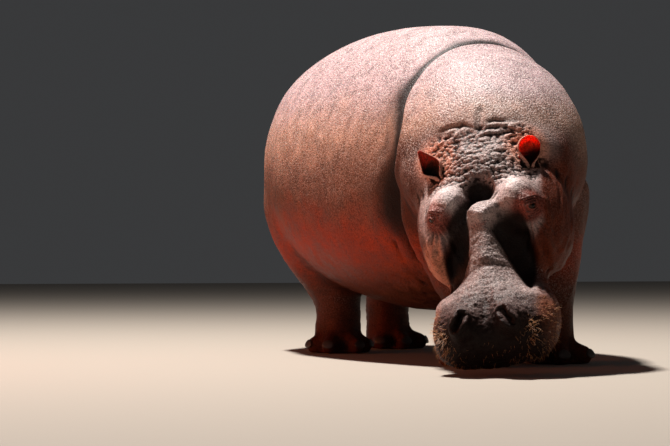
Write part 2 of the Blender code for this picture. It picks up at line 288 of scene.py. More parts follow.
def relaxed(
    points: np.ndarray, edges: np.ndarray, strength: float | np.ndarray, passes: int
) -> np.ndarray:
    """Evens a surface by moving each point toward the mean of its neighbours.

    Args:
        points: The points.
        edges: Pairs of neighbours.
        strength: How far a point moves in one pass, from 0 to 1, for all or for each.
        passes: How many passes.

    Returns:
        The new points.
    """
    first, second = edges.T
    count = len(points)
    share = np.broadcast_to(strength, count)[:, None]
    shared = np.bincount(first, minlength=count) + np.bincount(second, minlength=count)
    shared = np.maximum(shared, 1)
    moved = points.copy()
    for _ in range(passes):
        mean = np.empty_like(moved)
        for axis in range(3):
            total = np.bincount(first, moved[second, axis], count)
            total += np.bincount(second, moved[first, axis], count)
            mean[:, axis] = total / shared
        moved += share * (mean - moved)
    return moved


def linked(name: str, mesh: bmesh.types.BMesh) -> bpy.types.Object:
    """Turns a bmesh into an object of the scene.

    Args:
        name: The piece's name.
        mesh: Its shape, which is freed.

    Returns:
        The new object, at the origin.
    """
    data = bpy.data.meshes.new(name)
    mesh.to_mesh(data)
    mesh.free()
    made = bpy.data.objects.new(name, data)
    bpy.context.scene.collection.objects.link(made)
    return made


def applied(thing: bpy.types.Object) -> bpy.types.Object:
    """Bakes an object's modifiers into its mesh.

    Args:
        thing: The object.

    Returns:
        The same object.
    """
    bpy.context.view_layer.update()
    graph = bpy.context.evaluated_depsgraph_get()
    data = bpy.data.meshes.new_from_object(thing.evaluated_get(graph))
    thing.modifiers.clear()
    thing.data = data
    return thing


def remeshed(thing: bpy.types.Object, voxel: float) -> bpy.types.Object:
    """Gives an object one closed skin of even small faces.

    Args:
        thing: The object.
        voxel: The width of one face.

    Returns:
        The same object.
    """
    step = thing.modifiers.new("fuse", "REMESH")
    step.mode = "VOXEL"
    step.voxel_size = voxel
    return applied(thing)


def thinned(thing: bpy.types.Object, triangles: int, keep: np.ndarray) -> bpy.types.Object:
    """Reduces an object's triangles, and keeps most of them where asked.

    Args:
        thing: The object.
        triangles: How many to end with.
        keep: For each point, from 0, which may go, to 1, which stays.

    Returns:
        The same object.
    """
    thing.data.calc_loop_triangles()
    group = thing.vertex_groups.new(name="spare")
    levels = np.round((1 - keep) * 10).astype(int)
    for level in range(1, 11):
        chosen = np.nonzero(levels == level)[0]
        if len(chosen):
            group.add(chosen.tolist(), level / 10, "REPLACE")
    step = thing.modifiers.new("thin", "DECIMATE")
    step.ratio = triangles / len(thing.data.loop_triangles)
    step.vertex_group = group.name
    step.vertex_group_factor = 0.002
    return applied(thing)


def refined(thing: bpy.types.Object, chosen: np.ndarray) -> None:
    """Halves the faces between the chosen points of an object.

    Args:
        thing: The object.
        chosen: For each point, whether it is chosen.
    """
    mesh = bmesh.new()
    mesh.from_mesh(thing.data)
    mesh.verts.ensure_lookup_table()
    for vertex, wanted in zip(mesh.verts, chosen):
        vertex.tag = bool(wanted)
    edges = [edge for edge in mesh.edges if edge.verts[0].tag and edge.verts[1].tag]
    bmesh.ops.subdivide_edges(mesh, edges=edges, cuts=1, use_grid_fill=True)
    bmesh.ops.triangulate(mesh, faces=[face for face in mesh.faces if len(face.verts) > 4])
    mesh.to_mesh(thing.data)
    mesh.free()


def attribute(mesh: bpy.types.Mesh, name: str, values: np.ndarray) -> None:
    """Stores one number for each point of a mesh, for a finish to read."""
    layer = mesh.attributes.new(name, "FLOAT", "POINT")
    layer.data.foreach_set("value", values.astype(np.float32))


# ------------------------------------------------------------------ places
def middle_of(name: str) -> Vector:
    """The middle of one node's box."""
    low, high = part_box(name)
    return (Vector(low) + Vector(high)) / 2


def eye_centre(side: Side) -> Vector:
    """The middle of one eyeball."""
    return middle_of(f"eye_{side.word}")


@dataclass
class Head:
    """Where the head is. In its own frame the snout runs along -Y and the brow faces +Z."""

    yaw: float = -38.0
    roll: float = -8.0
    pitch: float = 59.7
    eye_line: Triple = (0.0, -0.291, -0.018)
    gaze: Triple = (0.74, -0.46, 0.52)

    def __post_init__(self) -> None:
        """Works out the frame, which is set by the midpoint of the two eyes."""
        turn = (
            Matrix.Rotation(math.radians(self.yaw), 4, "Z")
            @ Matrix.Rotation(math.radians(self.roll), 4, "Y")
            @ Matrix.Rotation(math.radians(self.pitch), 4, "X")
        )
        middle = sum((eye_centre(side) for side in Side), Vector()) / 2
        origin = Matrix.Translation(-Vector(self.eye_line))
        self.place = Matrix.Translation(middle) @ turn @ origin
        self.inverse = np.array(self.place.inverted())
        self.axes = np.array(self.place.to_3x3())

    def local(self, points: np.ndarray) -> np.ndarray:
        """Points of the row's frame in the head's own frame."""
        return points @ self.inverse[:3, :3].T + self.inverse[:3, 3]

    def way(self, direction: Triple) -> Vector:
        """A direction of the head's own frame in the row's frame."""
        return self.place.to_3x3() @ Vector(direction)

    def sight(self, side: Side) -> np.ndarray:
        """Which way an eye looks: outward, forward and a little up."""
        out, forward, up = self.gaze
        return np.array(self.way((side.value * out, forward, up)).normalized())


@dataclass(frozen=True)
class NeckFold:
    """The deep fold that rings the body ahead of the shoulders: its place along at each height."""

    heights: tuple[float, ...] = (0.40, 0.60, 0.70, 0.79, 0.87, 0.96, 1.05, 1.14, 1.24, 1.34)
    places: tuple[float, ...] = (
        -0.41, -0.468, -0.515, -0.605, -0.650, -0.630, -0.560, -0.525, -0.500, -0.470,
    )
    even: tuple[float, ...] = (-0.04, -0.02, 0.0, 0.02, 0.04)
    step: float = 0.01

    def place_at(self, height: np.ndarray) -> np.ndarray:
        """Where along the body the fold is.

        Args:
            height: Heights above the floor.

        Returns:
            The fold's Y at each height, evened over the stations.
        """
        total = np.zeros(len(height))
        for lift in self.even:
            total += np.interp(height + lift, self.heights, self.places)
        return total / len(self.even)

    def ahead(self, points: np.ndarray) -> np.ndarray:
        """How far each point is in front of the fold.

        Args:
            points: Points in the row's frame.

        Returns:
            Distances along the hide, negative behind the fold.
        """
        height = points[:, 2]
        rise = self.place_at(height + self.step) - self.place_at(height - self.step)
        slope = rise / (2 * self.step)
        return (self.place_at(height) - points[:, 1]) / np.sqrt(1 + slope**2)


@dataclass
class Guide:
    """What every fold and tone is placed by: the head, the neck's fold and one common grain."""

    head: Head = field(default_factory=Head)
    fold: NeckFold = field(default_factory=NeckFold)
    grain: Grain = field(default_factory=lambda: Grain(7))

    def ahead(self, points: np.ndarray) -> np.ndarray:
        """How far each point is in front of the neck's fold, which wanders a little."""
        ahead = self.fold.ahead(points)
        return ahead + 0.007 * self.grain.at(points, 0.22) + 0.002 * self.grain.at(points, 0.05)

    @staticmethod
    def flank(height: np.ndarray) -> np.ndarray:
        """1 at the height of the flank, where the neck's fold is widest, and 0 far from it."""
        return within(height, 0.62, 1.06, 0.16)

    @staticmethod
    def on_tail(points: np.ndarray, ahead: float) -> np.ndarray:
        """Finds the hanging tail.

        Args:
            points: Points in the row's frame.
            ahead: How far ahead of the tail's own solid it starts.

        Returns:
            1 on the tail and 0 off it.
        """
        low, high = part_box("tail")
        along = smooth(points[:, 1], high[1] - 0.085 - ahead, high[1] - 0.055 - ahead)
        across = within(points[:, 0], low[0], high[0], 0.03)
        return along * across * smooth(points[:, 2], high[2] + 0.03, high[2])


# ------------------------------------------------------------------ finishes
def linear(hex_colour: str) -> tuple[float, float, float, float]:
    """Turns an sRGB hex colour to linear light with full alpha.

    Args:
        hex_colour: The colour, as #rrggbb.

    Returns:
        Red, green, blue and alpha.
    """
    parts = [int(hex_colour[i : i + 2], 16) / 255 for i in (1, 3, 5)]
    light = [c / 12.92 if c <= 0.04045 else ((c + 0.055) / 1.055) ** 2.4 for c in parts]
    return (*light, 1.0)


def add(
    tree: bpy.types.NodeTree, kind: str, links: dict | None = None, **settings: object
) -> bpy.types.Node:
    """Adds a shader node.

    Args:
        tree: The material's nodes.
        kind: The node's type.
        links: Its sockets by name or number, each a value or another node's output.
        **settings: Its other properties.

    Returns:
        The new node.
    """
    made = tree.nodes.new(kind)
    for name, value in settings.items():
        setattr(made, name, value)
    dress(tree, made, links or {})
    return made


def dress(tree: bpy.types.NodeTree, node: bpy.types.Node, links: dict) -> None:
    """Sets a node's sockets.

    Args:
        tree: The material's nodes.
        node: The node.
        links: Its sockets by name or number, each a value or another node's output.
    """
    for name, value in links.items():
        if isinstance(value, bpy.types.NodeSocket):
            tree.links.new(value, node.inputs[name])
        else:
            node.inputs[name].default_value = value


def new_material(name: str) -> tuple[bpy.types.Material, bpy.types.NodeTree, bpy.types.Node]:
    """Starts a material.

    Args:
        name: Its name.

    Returns:
        The material, its nodes and its shader.
    """
    made = bpy.data.materials.new(name)
    made.use_nodes = True
    return made, made.node_tree, made.node_tree.nodes["Principled BSDF"]


@dataclass(frozen=True)
class HideFinish:
    """Thick bare hippopotamus hide, mauve with dust above, redder below and finely cracked, with
    painted shade in its folds and pits, painted glints among its dust and painted warm bounce light
    on its belly.

    Living skin scatters a little red light and has a dull sheen with moist, shinier tops. Its
    pores are under a millimetre wide, and they are drawn several times as coarse so that the
    hide still looks rough from where the animal is seen whole.
    """

    # Painted shade, laid in the pores' pits, the cracks between cobbles and the sunk folds.
    shade: str = "#120a08"
    # Pale dust, which also serves as painted glints on the tops that face the light.
    dust_and_glints: str = "#ecdcd6"
    pebble_mm: float = 6.5
    pore_mm: float = 5.5
    mottle_mm: float = 60.0
    ior: float = 1.42
    scatter: Triple = (0.026, 0.004, 0.0020)
    pore_depth_mm: float = 1.6
    crack_depth_mm: float = 3.0

    def material(self) -> bpy.types.Material:
        """Builds the hide's material.

        Returns:
            A material that reads the hide's own attributes for where each tone lies.
        """
        made, tree, shader = new_material("bare_hippopotamus_hide")
        read = self.patterns(tree)
        # Where the dust and painted glints lie the hide shines a little, and blood glows through the
        # thin ears.
        sheen = add(
            tree,
            "ShaderNodeMath",
            {0: read["dust_and_glints"], 1: 0.32, 2: 0.08},
            operation="MULTIPLY_ADD",
        )
        glow = add(
            tree,
            "ShaderNodeMath",
            {0: read["blood_and_glow"], 1: 0.85, 2: 0.04},
            operation="MULTIPLY_ADD",
        )
        settings = {
            "Base Color": self.colour(tree, read),
            "Roughness": read["rough"],
            "IOR": self.ior,
            "Specular IOR Level": sheen.outputs[0],
            "Subsurface Weight": glow.outputs[0],
            "Subsurface Radius": self.scatter,
            "Subsurface Scale": 1.0,
            "Normal": self.relief(tree, read),
        }
        dress(tree, shader, settings)
        return made

    def patterns(self, tree: bpy.types.NodeTree) -> dict[str, bpy.types.NodeSocket]:
        """Adds every pattern that the colour, the gloss and the relief are made from.

        Args:
            tree: The material's nodes.

        Returns:
            The patterns by name.
        """
        place = add(tree, "ShaderNodeTexCoord").outputs["Object"]
        read = {"tone": add(tree, "ShaderNodeAttribute", attribute_name="tone").outputs["Color"]}
        for name in ("fold", "dust_and_glints", "blood_and_glow"):
            read[name] = add(tree, "ShaderNodeAttribute", attribute_name=name).outputs["Fac"]
        for name, width, detail, roughness in (
            ("mottle", self.mottle_mm, 5.0, 0.65),
            ("pores", self.pore_mm, 2.0, 0.6),
            ("warp", 4 * self.pebble_mm, 3.0, 0.5),
        ):
            noise = add(
                tree,
                "ShaderNodeTexNoise",
                {"Vector": place, "Scale": 1000 / width, "Detail": detail, "Roughness": roughness},
            )
            read[name] = noise.outputs["Color" if name == "warp" else "Fac"]
        bent = add(
            tree,
            "ShaderNodeVectorMath",
            {0: read["warp"], 1: (self.pebble_mm * 3 * MM,) * 3, 2: place},
            operation="MULTIPLY_ADD",
        )
        pebbles = add(
            tree,
            "ShaderNodeTexVoronoi",
            {"Vector": bent.outputs[0], "Scale": 1000 / self.pebble_mm},
            feature="F1",
        )
        read["pebbles"] = pebbles.outputs["Distance"]
        # Each of these turns a stretch of a pattern, from low to high, to a share or a factor.
        for name, pattern, low, high, least, most in (
            ("blotch", "mottle", 0.30, 0.70, 0.62, 1.30),
            ("speck", "pores", 0.50, 0.66, 0.00, 0.72),
            ("pit", "pores", 0.47, 0.33, 0.00, 0.60),
            ("crack", "pebbles", 0.40, 0.80, 0.00, 0.35),
            ("rough", "mottle", 0.30, 0.70, 0.40, 0.62),
        ):
            limits = {"From Min": low, "From Max": high, "To Min": least, "To Max": most}
            ranged = add(tree, "ShaderNodeMapRange", {"Value": read[pattern], **limits})
            read[name] = ranged.outputs[0]
        return read

    def colour(
        self, tree: bpy.types.NodeTree, read: dict[str, bpy.types.NodeSocket]
    ) -> bpy.types.NodeSocket:
        """Mixes the hide's colour.

        Args:
            tree: The material's nodes.
            read: The patterns by name.

        Returns:
            The colour's socket.
        """
        # Blotches a hand wide are darker and lighter than the tone they lie in.
        mottled = add(
            tree,
            "ShaderNodeVectorMath",
            {0: read["tone"], "Scale": read["blotch"]},
            operation="SCALE",
        )
        colour = mottled.outputs[0]
        # Pale specks of dust and painted glints on the pores' tops that face up.
        specks_and_glints = add(
            tree, "ShaderNodeMath", {0: read["speck"], 1: read["dust_and_glints"]}, operation="MULTIPLY"
        )
        # Pale dust and dry flakes, with painted glints, sit on the tops of the pores, and painted
        # shade darkens the pits, the cracks and all that is sunk.
        for share, over in (
            (specks_and_glints.outputs[0], self.dust_and_glints),
            (read["pit"], self.shade),
            (read["crack"], self.shade),
            (read["fold"], self.shade),
        ):
            layer = add(
                tree,
                "ShaderNodeMix",
                {0: share, 6: colour, 7: linear(over)},
                data_type="RGBA",
            )
            colour = layer.outputs[2]
        return colour

    def relief(
        self, tree: bpy.types.NodeTree, read: dict[str, bpy.types.NodeSocket]
    ) -> bpy.types.NodeSocket:
        """Raises the pores and sinks the cracks, both too fine for the hide's own faces.

        Args:
            tree: The material's nodes.
            read: The patterns by name.

        Returns:
            The normal's socket.
        """
        fine = add(
            tree,
            "ShaderNodeBump",
            {"Height": read["pores"], "Strength": 0.8, "Distance": self.pore_depth_mm * MM},
        )
        cracked = add(
            tree,
            "ShaderNodeBump",
            {
                "Height": read["pebbles"],
                "Strength": 0.55,
                "Distance": -self.crack_depth_mm * MM,
                "Normal": fine.outputs["Normal"],
            },
        )
        return cracked.outputs["Normal"]


@dataclass(frozen=True)
class EyeFinish:
    """A wet eyeball: dark pupil, brown iris and reddish white under one clear gloss.

    The tears give it small sharp glints, and the rest of it stays dark.
    """

    pupil: str = "#050303"
    iris: str = "#3a1d0c"
    rim: str = "#120806"
    white: str = "#6b4438"
    ior: float = 1.36

    def material(self) -> bpy.types.Material:
        """Builds the eye's material.

        Returns:
            A material that reads the angle off the line of sight, as a share of a right angle.
        """
        made, tree, shader = new_material("wet_eyeball")
        angle = add(tree, "ShaderNodeAttribute", attribute_name="off_sight").outputs["Fac"]
        ramp = add(tree, "ShaderNodeValToRGB", {"Fac": angle})
        stops = ramp.color_ramp.elements
        stops[0].position = 0.0
        stops[0].color = linear(self.pupil)
        stops[1].position = 1.0
        stops[1].color = linear(self.white)
        for position, colour in (
            (0.16, self.pupil),
            (0.20, self.iris),
            (0.40, self.iris),
            (0.46, self.rim),
            (0.54, self.white),
        ):
            stops.new(position).color = linear(colour)
        settings = {
            "Base Color": ramp.outputs["Color"],
            "Roughness": 0.14,
            "IOR": self.ior,
            "Specular IOR Level": 0.2,
            "Coat Weight": 0.12,
            "Coat Roughness": 0.02,
        }
        dress(tree, shader, settings)
        return made


@dataclass(frozen=True)
class HornFinish:
    """Dull dark horn of a short hoof-like nail, worn paler in fine grains."""

    horn: str = "#1d1410"
    worn: str = "#3a2a22"
    grain_mm: float = 6.0
    grain_depth_mm: float = 1.0

    def material(self) -> bpy.types.Material:
        """Builds the horn's material.

        Returns:
            The material, which reads places in space.
        """
        made, tree, shader = new_material("nail_horn")
        place = add(tree, "ShaderNodeTexCoord").outputs["Object"]
        grain = add(
            tree,
            "ShaderNodeTexNoise",
            {"Vector": place, "Scale": 1000 / self.grain_mm, "Detail": 3.0},
        ).outputs["Fac"]
        colour = add(
            tree,
            "ShaderNodeMix",
            {0: grain, 6: linear(self.horn), 7: linear(self.worn)},
            data_type="RGBA",
        )
        relief = add(
            tree,
            "ShaderNodeBump",
            {"Height": grain, "Strength": 0.4, "Distance": self.grain_depth_mm * MM},
        )
        settings = {
            "Base Color": colour.outputs[2],
            "Roughness": 0.5,
            "Normal": relief.outputs["Normal"],
        }
        dress(tree, shader, settings)
        return made


@dataclass(frozen=True)
class BristleFinish:
    """Stiff straw-brown bristle, smooth enough to catch the light along its length."""

    colour: str = "#b07a4e"
    ior: float = 1.55

    def material(self) -> bpy.types.Material:
        """Builds the bristle's material.

        Returns:
            The material, one even colour.
        """
        made, tree, shader = new_material("stiff_bristle")
        dress(tree, shader, {"Base Color": linear(self.colour), "Roughness": 0.35, "IOR": self.ior})
        return made


class Tone(Enum):
    """The hide's tones: most are its own colours in good light, and some are painted light and
    shade.
    """

    BACK = "#a1878a"
    FLANK = "#a37c68"
    # Painted shade: the darker band below the lit back, where the light from above falls off.
    SHADED_FLANK = "#5e3727"
    # The belly's own red, made redder as painted warm light bounced up from the floor.
    BELLY = "#8a2d0e"
    LEG = "#4c2415"
    BROW = "#9a8581"
    CHEEK = "#5a2615"
    MUZZLE = "#4c3a37"
    LIP = "#794530"
    # A painted highlight on the tops of the eye mounds and the nose's knob.
    MOUND = "#c6b4b2"
    FLUSH = "#cd876c"
    LID = "#702c1e"
    # The nose bridge's own darker tone, also laid as painted shade around the forehead pit and a
    # nose hollow.
    SADDLE = "#483633"
    SHADE = "#1b0e0b"
    # The right ear's cup, painted in shade.
    SHADED_CUP = "#7c2f20"
    # The ear's own pale pink, with a painted highlight along its lit rim.
    RIM = "#cf9684"
    # The left ear's own red, brightened as a painted glow of light shining through it.
    BLOOD_AND_GLOW = "#f93f22"


class Paint:
    """A colour for each point, laid tone over tone."""

    def __init__(self, count: int, ground: Tone) -> None:
        """Covers every point with one tone.

        Args:
            count: How many points there are.
            ground: The first tone.
        """
        self.colours = np.tile(np.array(linear(ground.value)), (count, 1))

    def lay(self, cover: np.ndarray, tone: Tone) -> None:
        """Lays a tone over the rest, by a cover from 0 for none to 1 for all at each point."""
        cover = np.clip(cover, 0, 1)[:, None]
        self.colours += cover * (np.array(linear(tone.value)) - self.colours)

    def store(self, mesh: bpy.types.Mesh) -> None:
        """Keeps the colours on the mesh, as the attribute tone."""
        layer = mesh.attributes.new("tone", "FLOAT_COLOR", "POINT")
        layer.data.foreach_set("color", self.colours.astype(np.float32).ravel())


# ------------------------------------------------------------------ shapes of the hide
@dataclass
class NoseForms:
    """The knobbed ridge of the nose between long hollows, and the arch-shaped pit above it.

    All places are in the head's own frame, and the right-hand side is where X is below 0.
    """

    guide: Guide
    ridge_at: tuple[float, ...] = (-0.600, -0.520, -0.430, -0.355, -0.290, -0.240)
    ridge_middle: tuple[float, ...] = (0.000, 0.000, -0.008, -0.020, -0.004, 0.020)
    ridge_half: tuple[float, ...] = (0.140, 0.100, 0.064, 0.036, 0.050, 0.034)
    ridge_lift: float = 0.014
    right_at: tuple[float, ...] = (-0.52, -0.40, -0.33, -0.29, -0.25, -0.22)
    right_reach: tuple[float, ...] = (0.188, 0.180, 0.140, 0.106, 0.080, 0.064)
    left_reach: float = 0.155
    right_top: float = -0.195
    left_top: float = -0.315
    hollow_foot: float = -0.585
    hollow_depth: float = 0.042
    pit: tuple[float, float] = (-0.012, -0.192)
    pit_half: tuple[float, float] = (0.053, 0.042)
    pit_depth: float = 0.036
    knob: tuple[float, float] = (-0.004, -0.283)
    knob_half: tuple[float, float] = (0.060, 0.046)
    knob_lean: tuple[float, float] = (0.94, 0.34)
    knob_height: float = 0.026
    eye_hill: Hill = Hill((0.132, -0.225, 0.0), (0.052, 0.052, 0.06), 0.018)
    lip_groove: Hill = Hill((0.002, -0.715, -0.02), (0.026, 0.085, 0.07), -0.018)
    nostril_hill: Hill = Hill((0.088, -0.735, 0.0), (0.042, 0.050, 0.05), 0.011)
    slimming: float = 0.015

    def hollows(self, face: np.ndarray) -> tuple[np.ndarray, np.ndarray]:
        """The long hollows on either side of the nose's ridge.

        Args:
            face: Points in the head's own frame.

        Returns:
            How far each point is off the ridge, and how deep in a hollow, each from 0 to 1.
        """
        x, y, _ = face.T
        width = np.abs(x)
        centre = np.interp(y, self.ridge_at, self.ridge_middle)
        half = np.interp(y, self.ridge_at, self.ridge_half)
        beside = smooth(np.abs(x - centre) - half, -0.008, 0.024)
        outer = np.where(x < 0, np.interp(y, self.right_at, self.right_reach), self.left_reach)
        top = np.where(x < 0, self.right_top, self.left_top)
        foot = self.hollow_foot - 0.6 * np.clip(x - 0.08, 0, 0.12)
        hollow = beside * smooth(width - outer, 0.024, -0.024)
        hollow *= smooth(y, foot, foot + 0.055) * smooth(y, top + 0.045, top - 0.035)
        return beside, hollow

    def arch(self, face: np.ndarray) -> np.ndarray:
        """How far each point is from the pit in the forehead, 1 at its ragged edge.

        Args:
            face: Points in the head's own frame.

        Returns:
            The distance as a share of the pit's half width.
        """
        ragged = 0.14 * self.guide.grain.at(face, 0.035)
        across = (face[:, 0] - self.pit[0]) / self.pit_half[0]
        along = (face[:, 1] - self.pit[1]) / self.pit_half[1]
        return np.hypot(across, along) + ragged

    def rise(self, face: np.ndarray) -> np.ndarray:
        """How far each point rises along the face's outward axis.

        Args:
            face: Points in the head's own frame.

        Returns:
            The rise, negative where the face is hollow.
        """
        x, y, z = face.T
        beside, hollow = self.hollows(face)
        rise = -self.hollow_depth * hollow
        rise += self.ridge_lift * (1 - beside) * within(y, -0.47, -0.25, 0.035)
        cosine, sine = self.knob_lean
        right, back = x - self.knob[0], y - self.knob[1]
        across = right * cosine + back * sine
        along = back * cosine - right * sine
        knob = np.hypot(across / self.knob_half[0], along / self.knob_half[1])
        rise += self.knob_height * smooth(knob, 1.20, 0.45)
        rise -= self.pit_depth * smooth(self.arch(face), 1.30, 0.66) * smooth(knob, 0.95, 1.25)
        mirrored = np.column_stack((np.abs(x), y, z))
        rise += self.eye_hill.at(mirrored)
        rise += self.lip_groove.at(face)
        rise += self.nostril_hill.at(mirrored)
        return rise

    def pressed(self, points: np.ndarray) -> np.ndarray:
        """Moves points of the hide to the face's large forms.

        Args:
            points: The hide's points.

        Returns:
            The moved points.
        """
        axes = self.guide.head.axes
        face = self.guide.head.local(points)
        front = smooth(face[:, 2], -0.29, -0.22)
        raised = points + (front * self.rise(face))[:, None] * axes[:, 2]
        slim = self.slimming * smooth(-face[:, 0], 0.08, 0.22)
        slim = slim * smooth(face[:, 1], -0.56, -0.66)
        return raised + slim[:, None] * axes[:, 0]


@dataclass
class BodyFolds:
    """The neck's deep fold with its rolls, throat folds below it and the flank's slight waves."""

    guide: Guide
    valley: float = 0.013
    valley_behind: float = 0.032
    valley_ahead: float = 0.009
    seam: float = 0.010
    seam_width: float = 0.0045
    roll: float = 0.007
    roll_ahead: float = 0.030
    roll_width: float = 0.026
    swell: float = 0.006
    swell_behind: float = 0.135
    swell_width: float = 0.055
    second: float = 0.006
    second_ahead: float = 0.040
    throat_width: float = 0.012
    throat_roll_width: float = 0.018
    throat: tuple[tuple[float, float], ...] = ((-0.735, 0.006), (-0.810, 0.012), (-0.870, 0.006))

    def rise(self, points: np.ndarray) -> np.ndarray:
        """How far each point rises off the hide.

        Args:
            points: The hide's points.

        Returns:
            The rise along the normal.
        """
        grain = self.guide.grain
        ahead = self.guide.ahead(points)
        y, z = points[:, 1], points[:, 2]
        behind_head = self.guide.head.local(points)[:, 1]
        high = smooth(z, 0.30, 0.52)
        flank = self.guide.flank(z)
        behind = self.valley + self.valley_behind * flank
        valley = bell(ahead, np.where(ahead < 0, behind, self.valley_ahead))
        rise = -high * (self.valley + 0.013 * flank) * valley
        rise += high * (self.roll + 0.002 * flank) * bell(ahead - self.roll_ahead, self.roll_width)
        rise += flank * self.swell * bell(ahead + self.swell_behind, self.swell_width)
        rise -= smooth(z, 1.10, 1.20) * self.second * bell(ahead - self.second_ahead, 0.006)
        rise -= high * self.seam * bell(ahead, self.seam_width)
        low = within(z, 0.50, 0.80, 0.08) * smooth(behind_head, 0.02, 0.10)
        sway = 0.05 * (z - 0.7) ** 2 + 0.006 * grain.at(points, 0.12)
        for place, depth in self.throat:
            line = y - place + sway
            rise -= low * depth * bell(line, self.throat_width)
            rise += low * 0.5 * depth * bell(line + 0.030, self.throat_roll_width)
        off_head = smooth(behind_head, 0.0, 0.1) * smooth(z, 0.1, 0.4)
        rise += off_head * 0.005 * grain.at(points, (0.30, 0.30, 0.24))
        rise += off_head * flank * 0.0030 * grain.at(points, (0.055, 0.055, 0.15))
        return rise


@dataclass
class LimbFolds:
    """Creases round the legs and the slanted folds where the forelegs join the chest."""

    guide: Guide
    ring_depth: float = 0.0022
    waves: float = 0.0020
    crease_depth: float = 0.010
    crease_width: float = 0.011
    creases: tuple[tuple[Triple, ...], ...] = (
        ((0.386, -0.363, 0.486), (0.31, -0.33, 0.40), (0.235, -0.312, 0.321)),
        ((0.42, -0.25, 0.44), (0.36, -0.27, 0.38), (0.27, -0.28, 0.30)),
    )

    def rise(self, points: np.ndarray) -> np.ndarray:
        """How far each point rises off the hide.

        Args:
            points: The hide's points.

        Returns:
            The rise along the normal.
        """
        grain = self.guide.grain
        z = points[:, 2]
        leg = smooth(z, 0.52, 0.40) * smooth(z, 0.06, 0.12)
        off_head = smooth(self.guide.head.local(points)[:, 1], 0.10, 0.2)
        rings = grain.at(points, (0.16, 0.16, 0.020))
        rise = -leg * off_head * self.ring_depth * np.clip(1 - 3 * np.abs(rings), 0, 1)
        rise += leg * off_head * self.waves * grain.at(points, 0.06)
        for crease in self.creases:
            for side in (Side.RIGHT, Side.LEFT):
                route = tuple((side.value * x, y, height) for x, y, height in crease)
                rise -= self.crease_depth * bell(line_distance(points, route), self.crease_width)
        return rise


@dataclass
class Toes:
    """The lobe behind each nail and the clefts between lobes."""

    lobe: float = 0.016
    lobe_radii: Triple = (0.040, 0.040, 0.048)
    cleft: float = 0.020
    cleft_width: float = 0.019

    def rise(self, points: np.ndarray) -> np.ndarray:
        """How far each point rises off the hide.

        Args:
            points: The hide's points.

        Returns:
            The rise along the normal.
        """
        rise = np.zeros(len(points))
        low = smooth(points[:, 2], 0.13, 0.08) * smooth(points[:, 2], 0.001, 0.01)
        for side, foot in itertools.product(Side, FEET):
            nails = [f"{foot}_{side.word}_nail_{number}" for number in range(1, 5)]
            tips = [np.mean(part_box(nail), axis=0) for nail in nails]
            for tip in tips:
                rise += Hill(tuple(tip), self.lobe_radii, self.lobe).at(points)
            for one, two in zip(tips, tips[1:]):
                gap = np.linalg.norm(points[:, :2] - ((one + two) / 2)[:2], axis=1)
                rise -= low * self.cleft * bell(gap, self.cleft_width)
        return rise


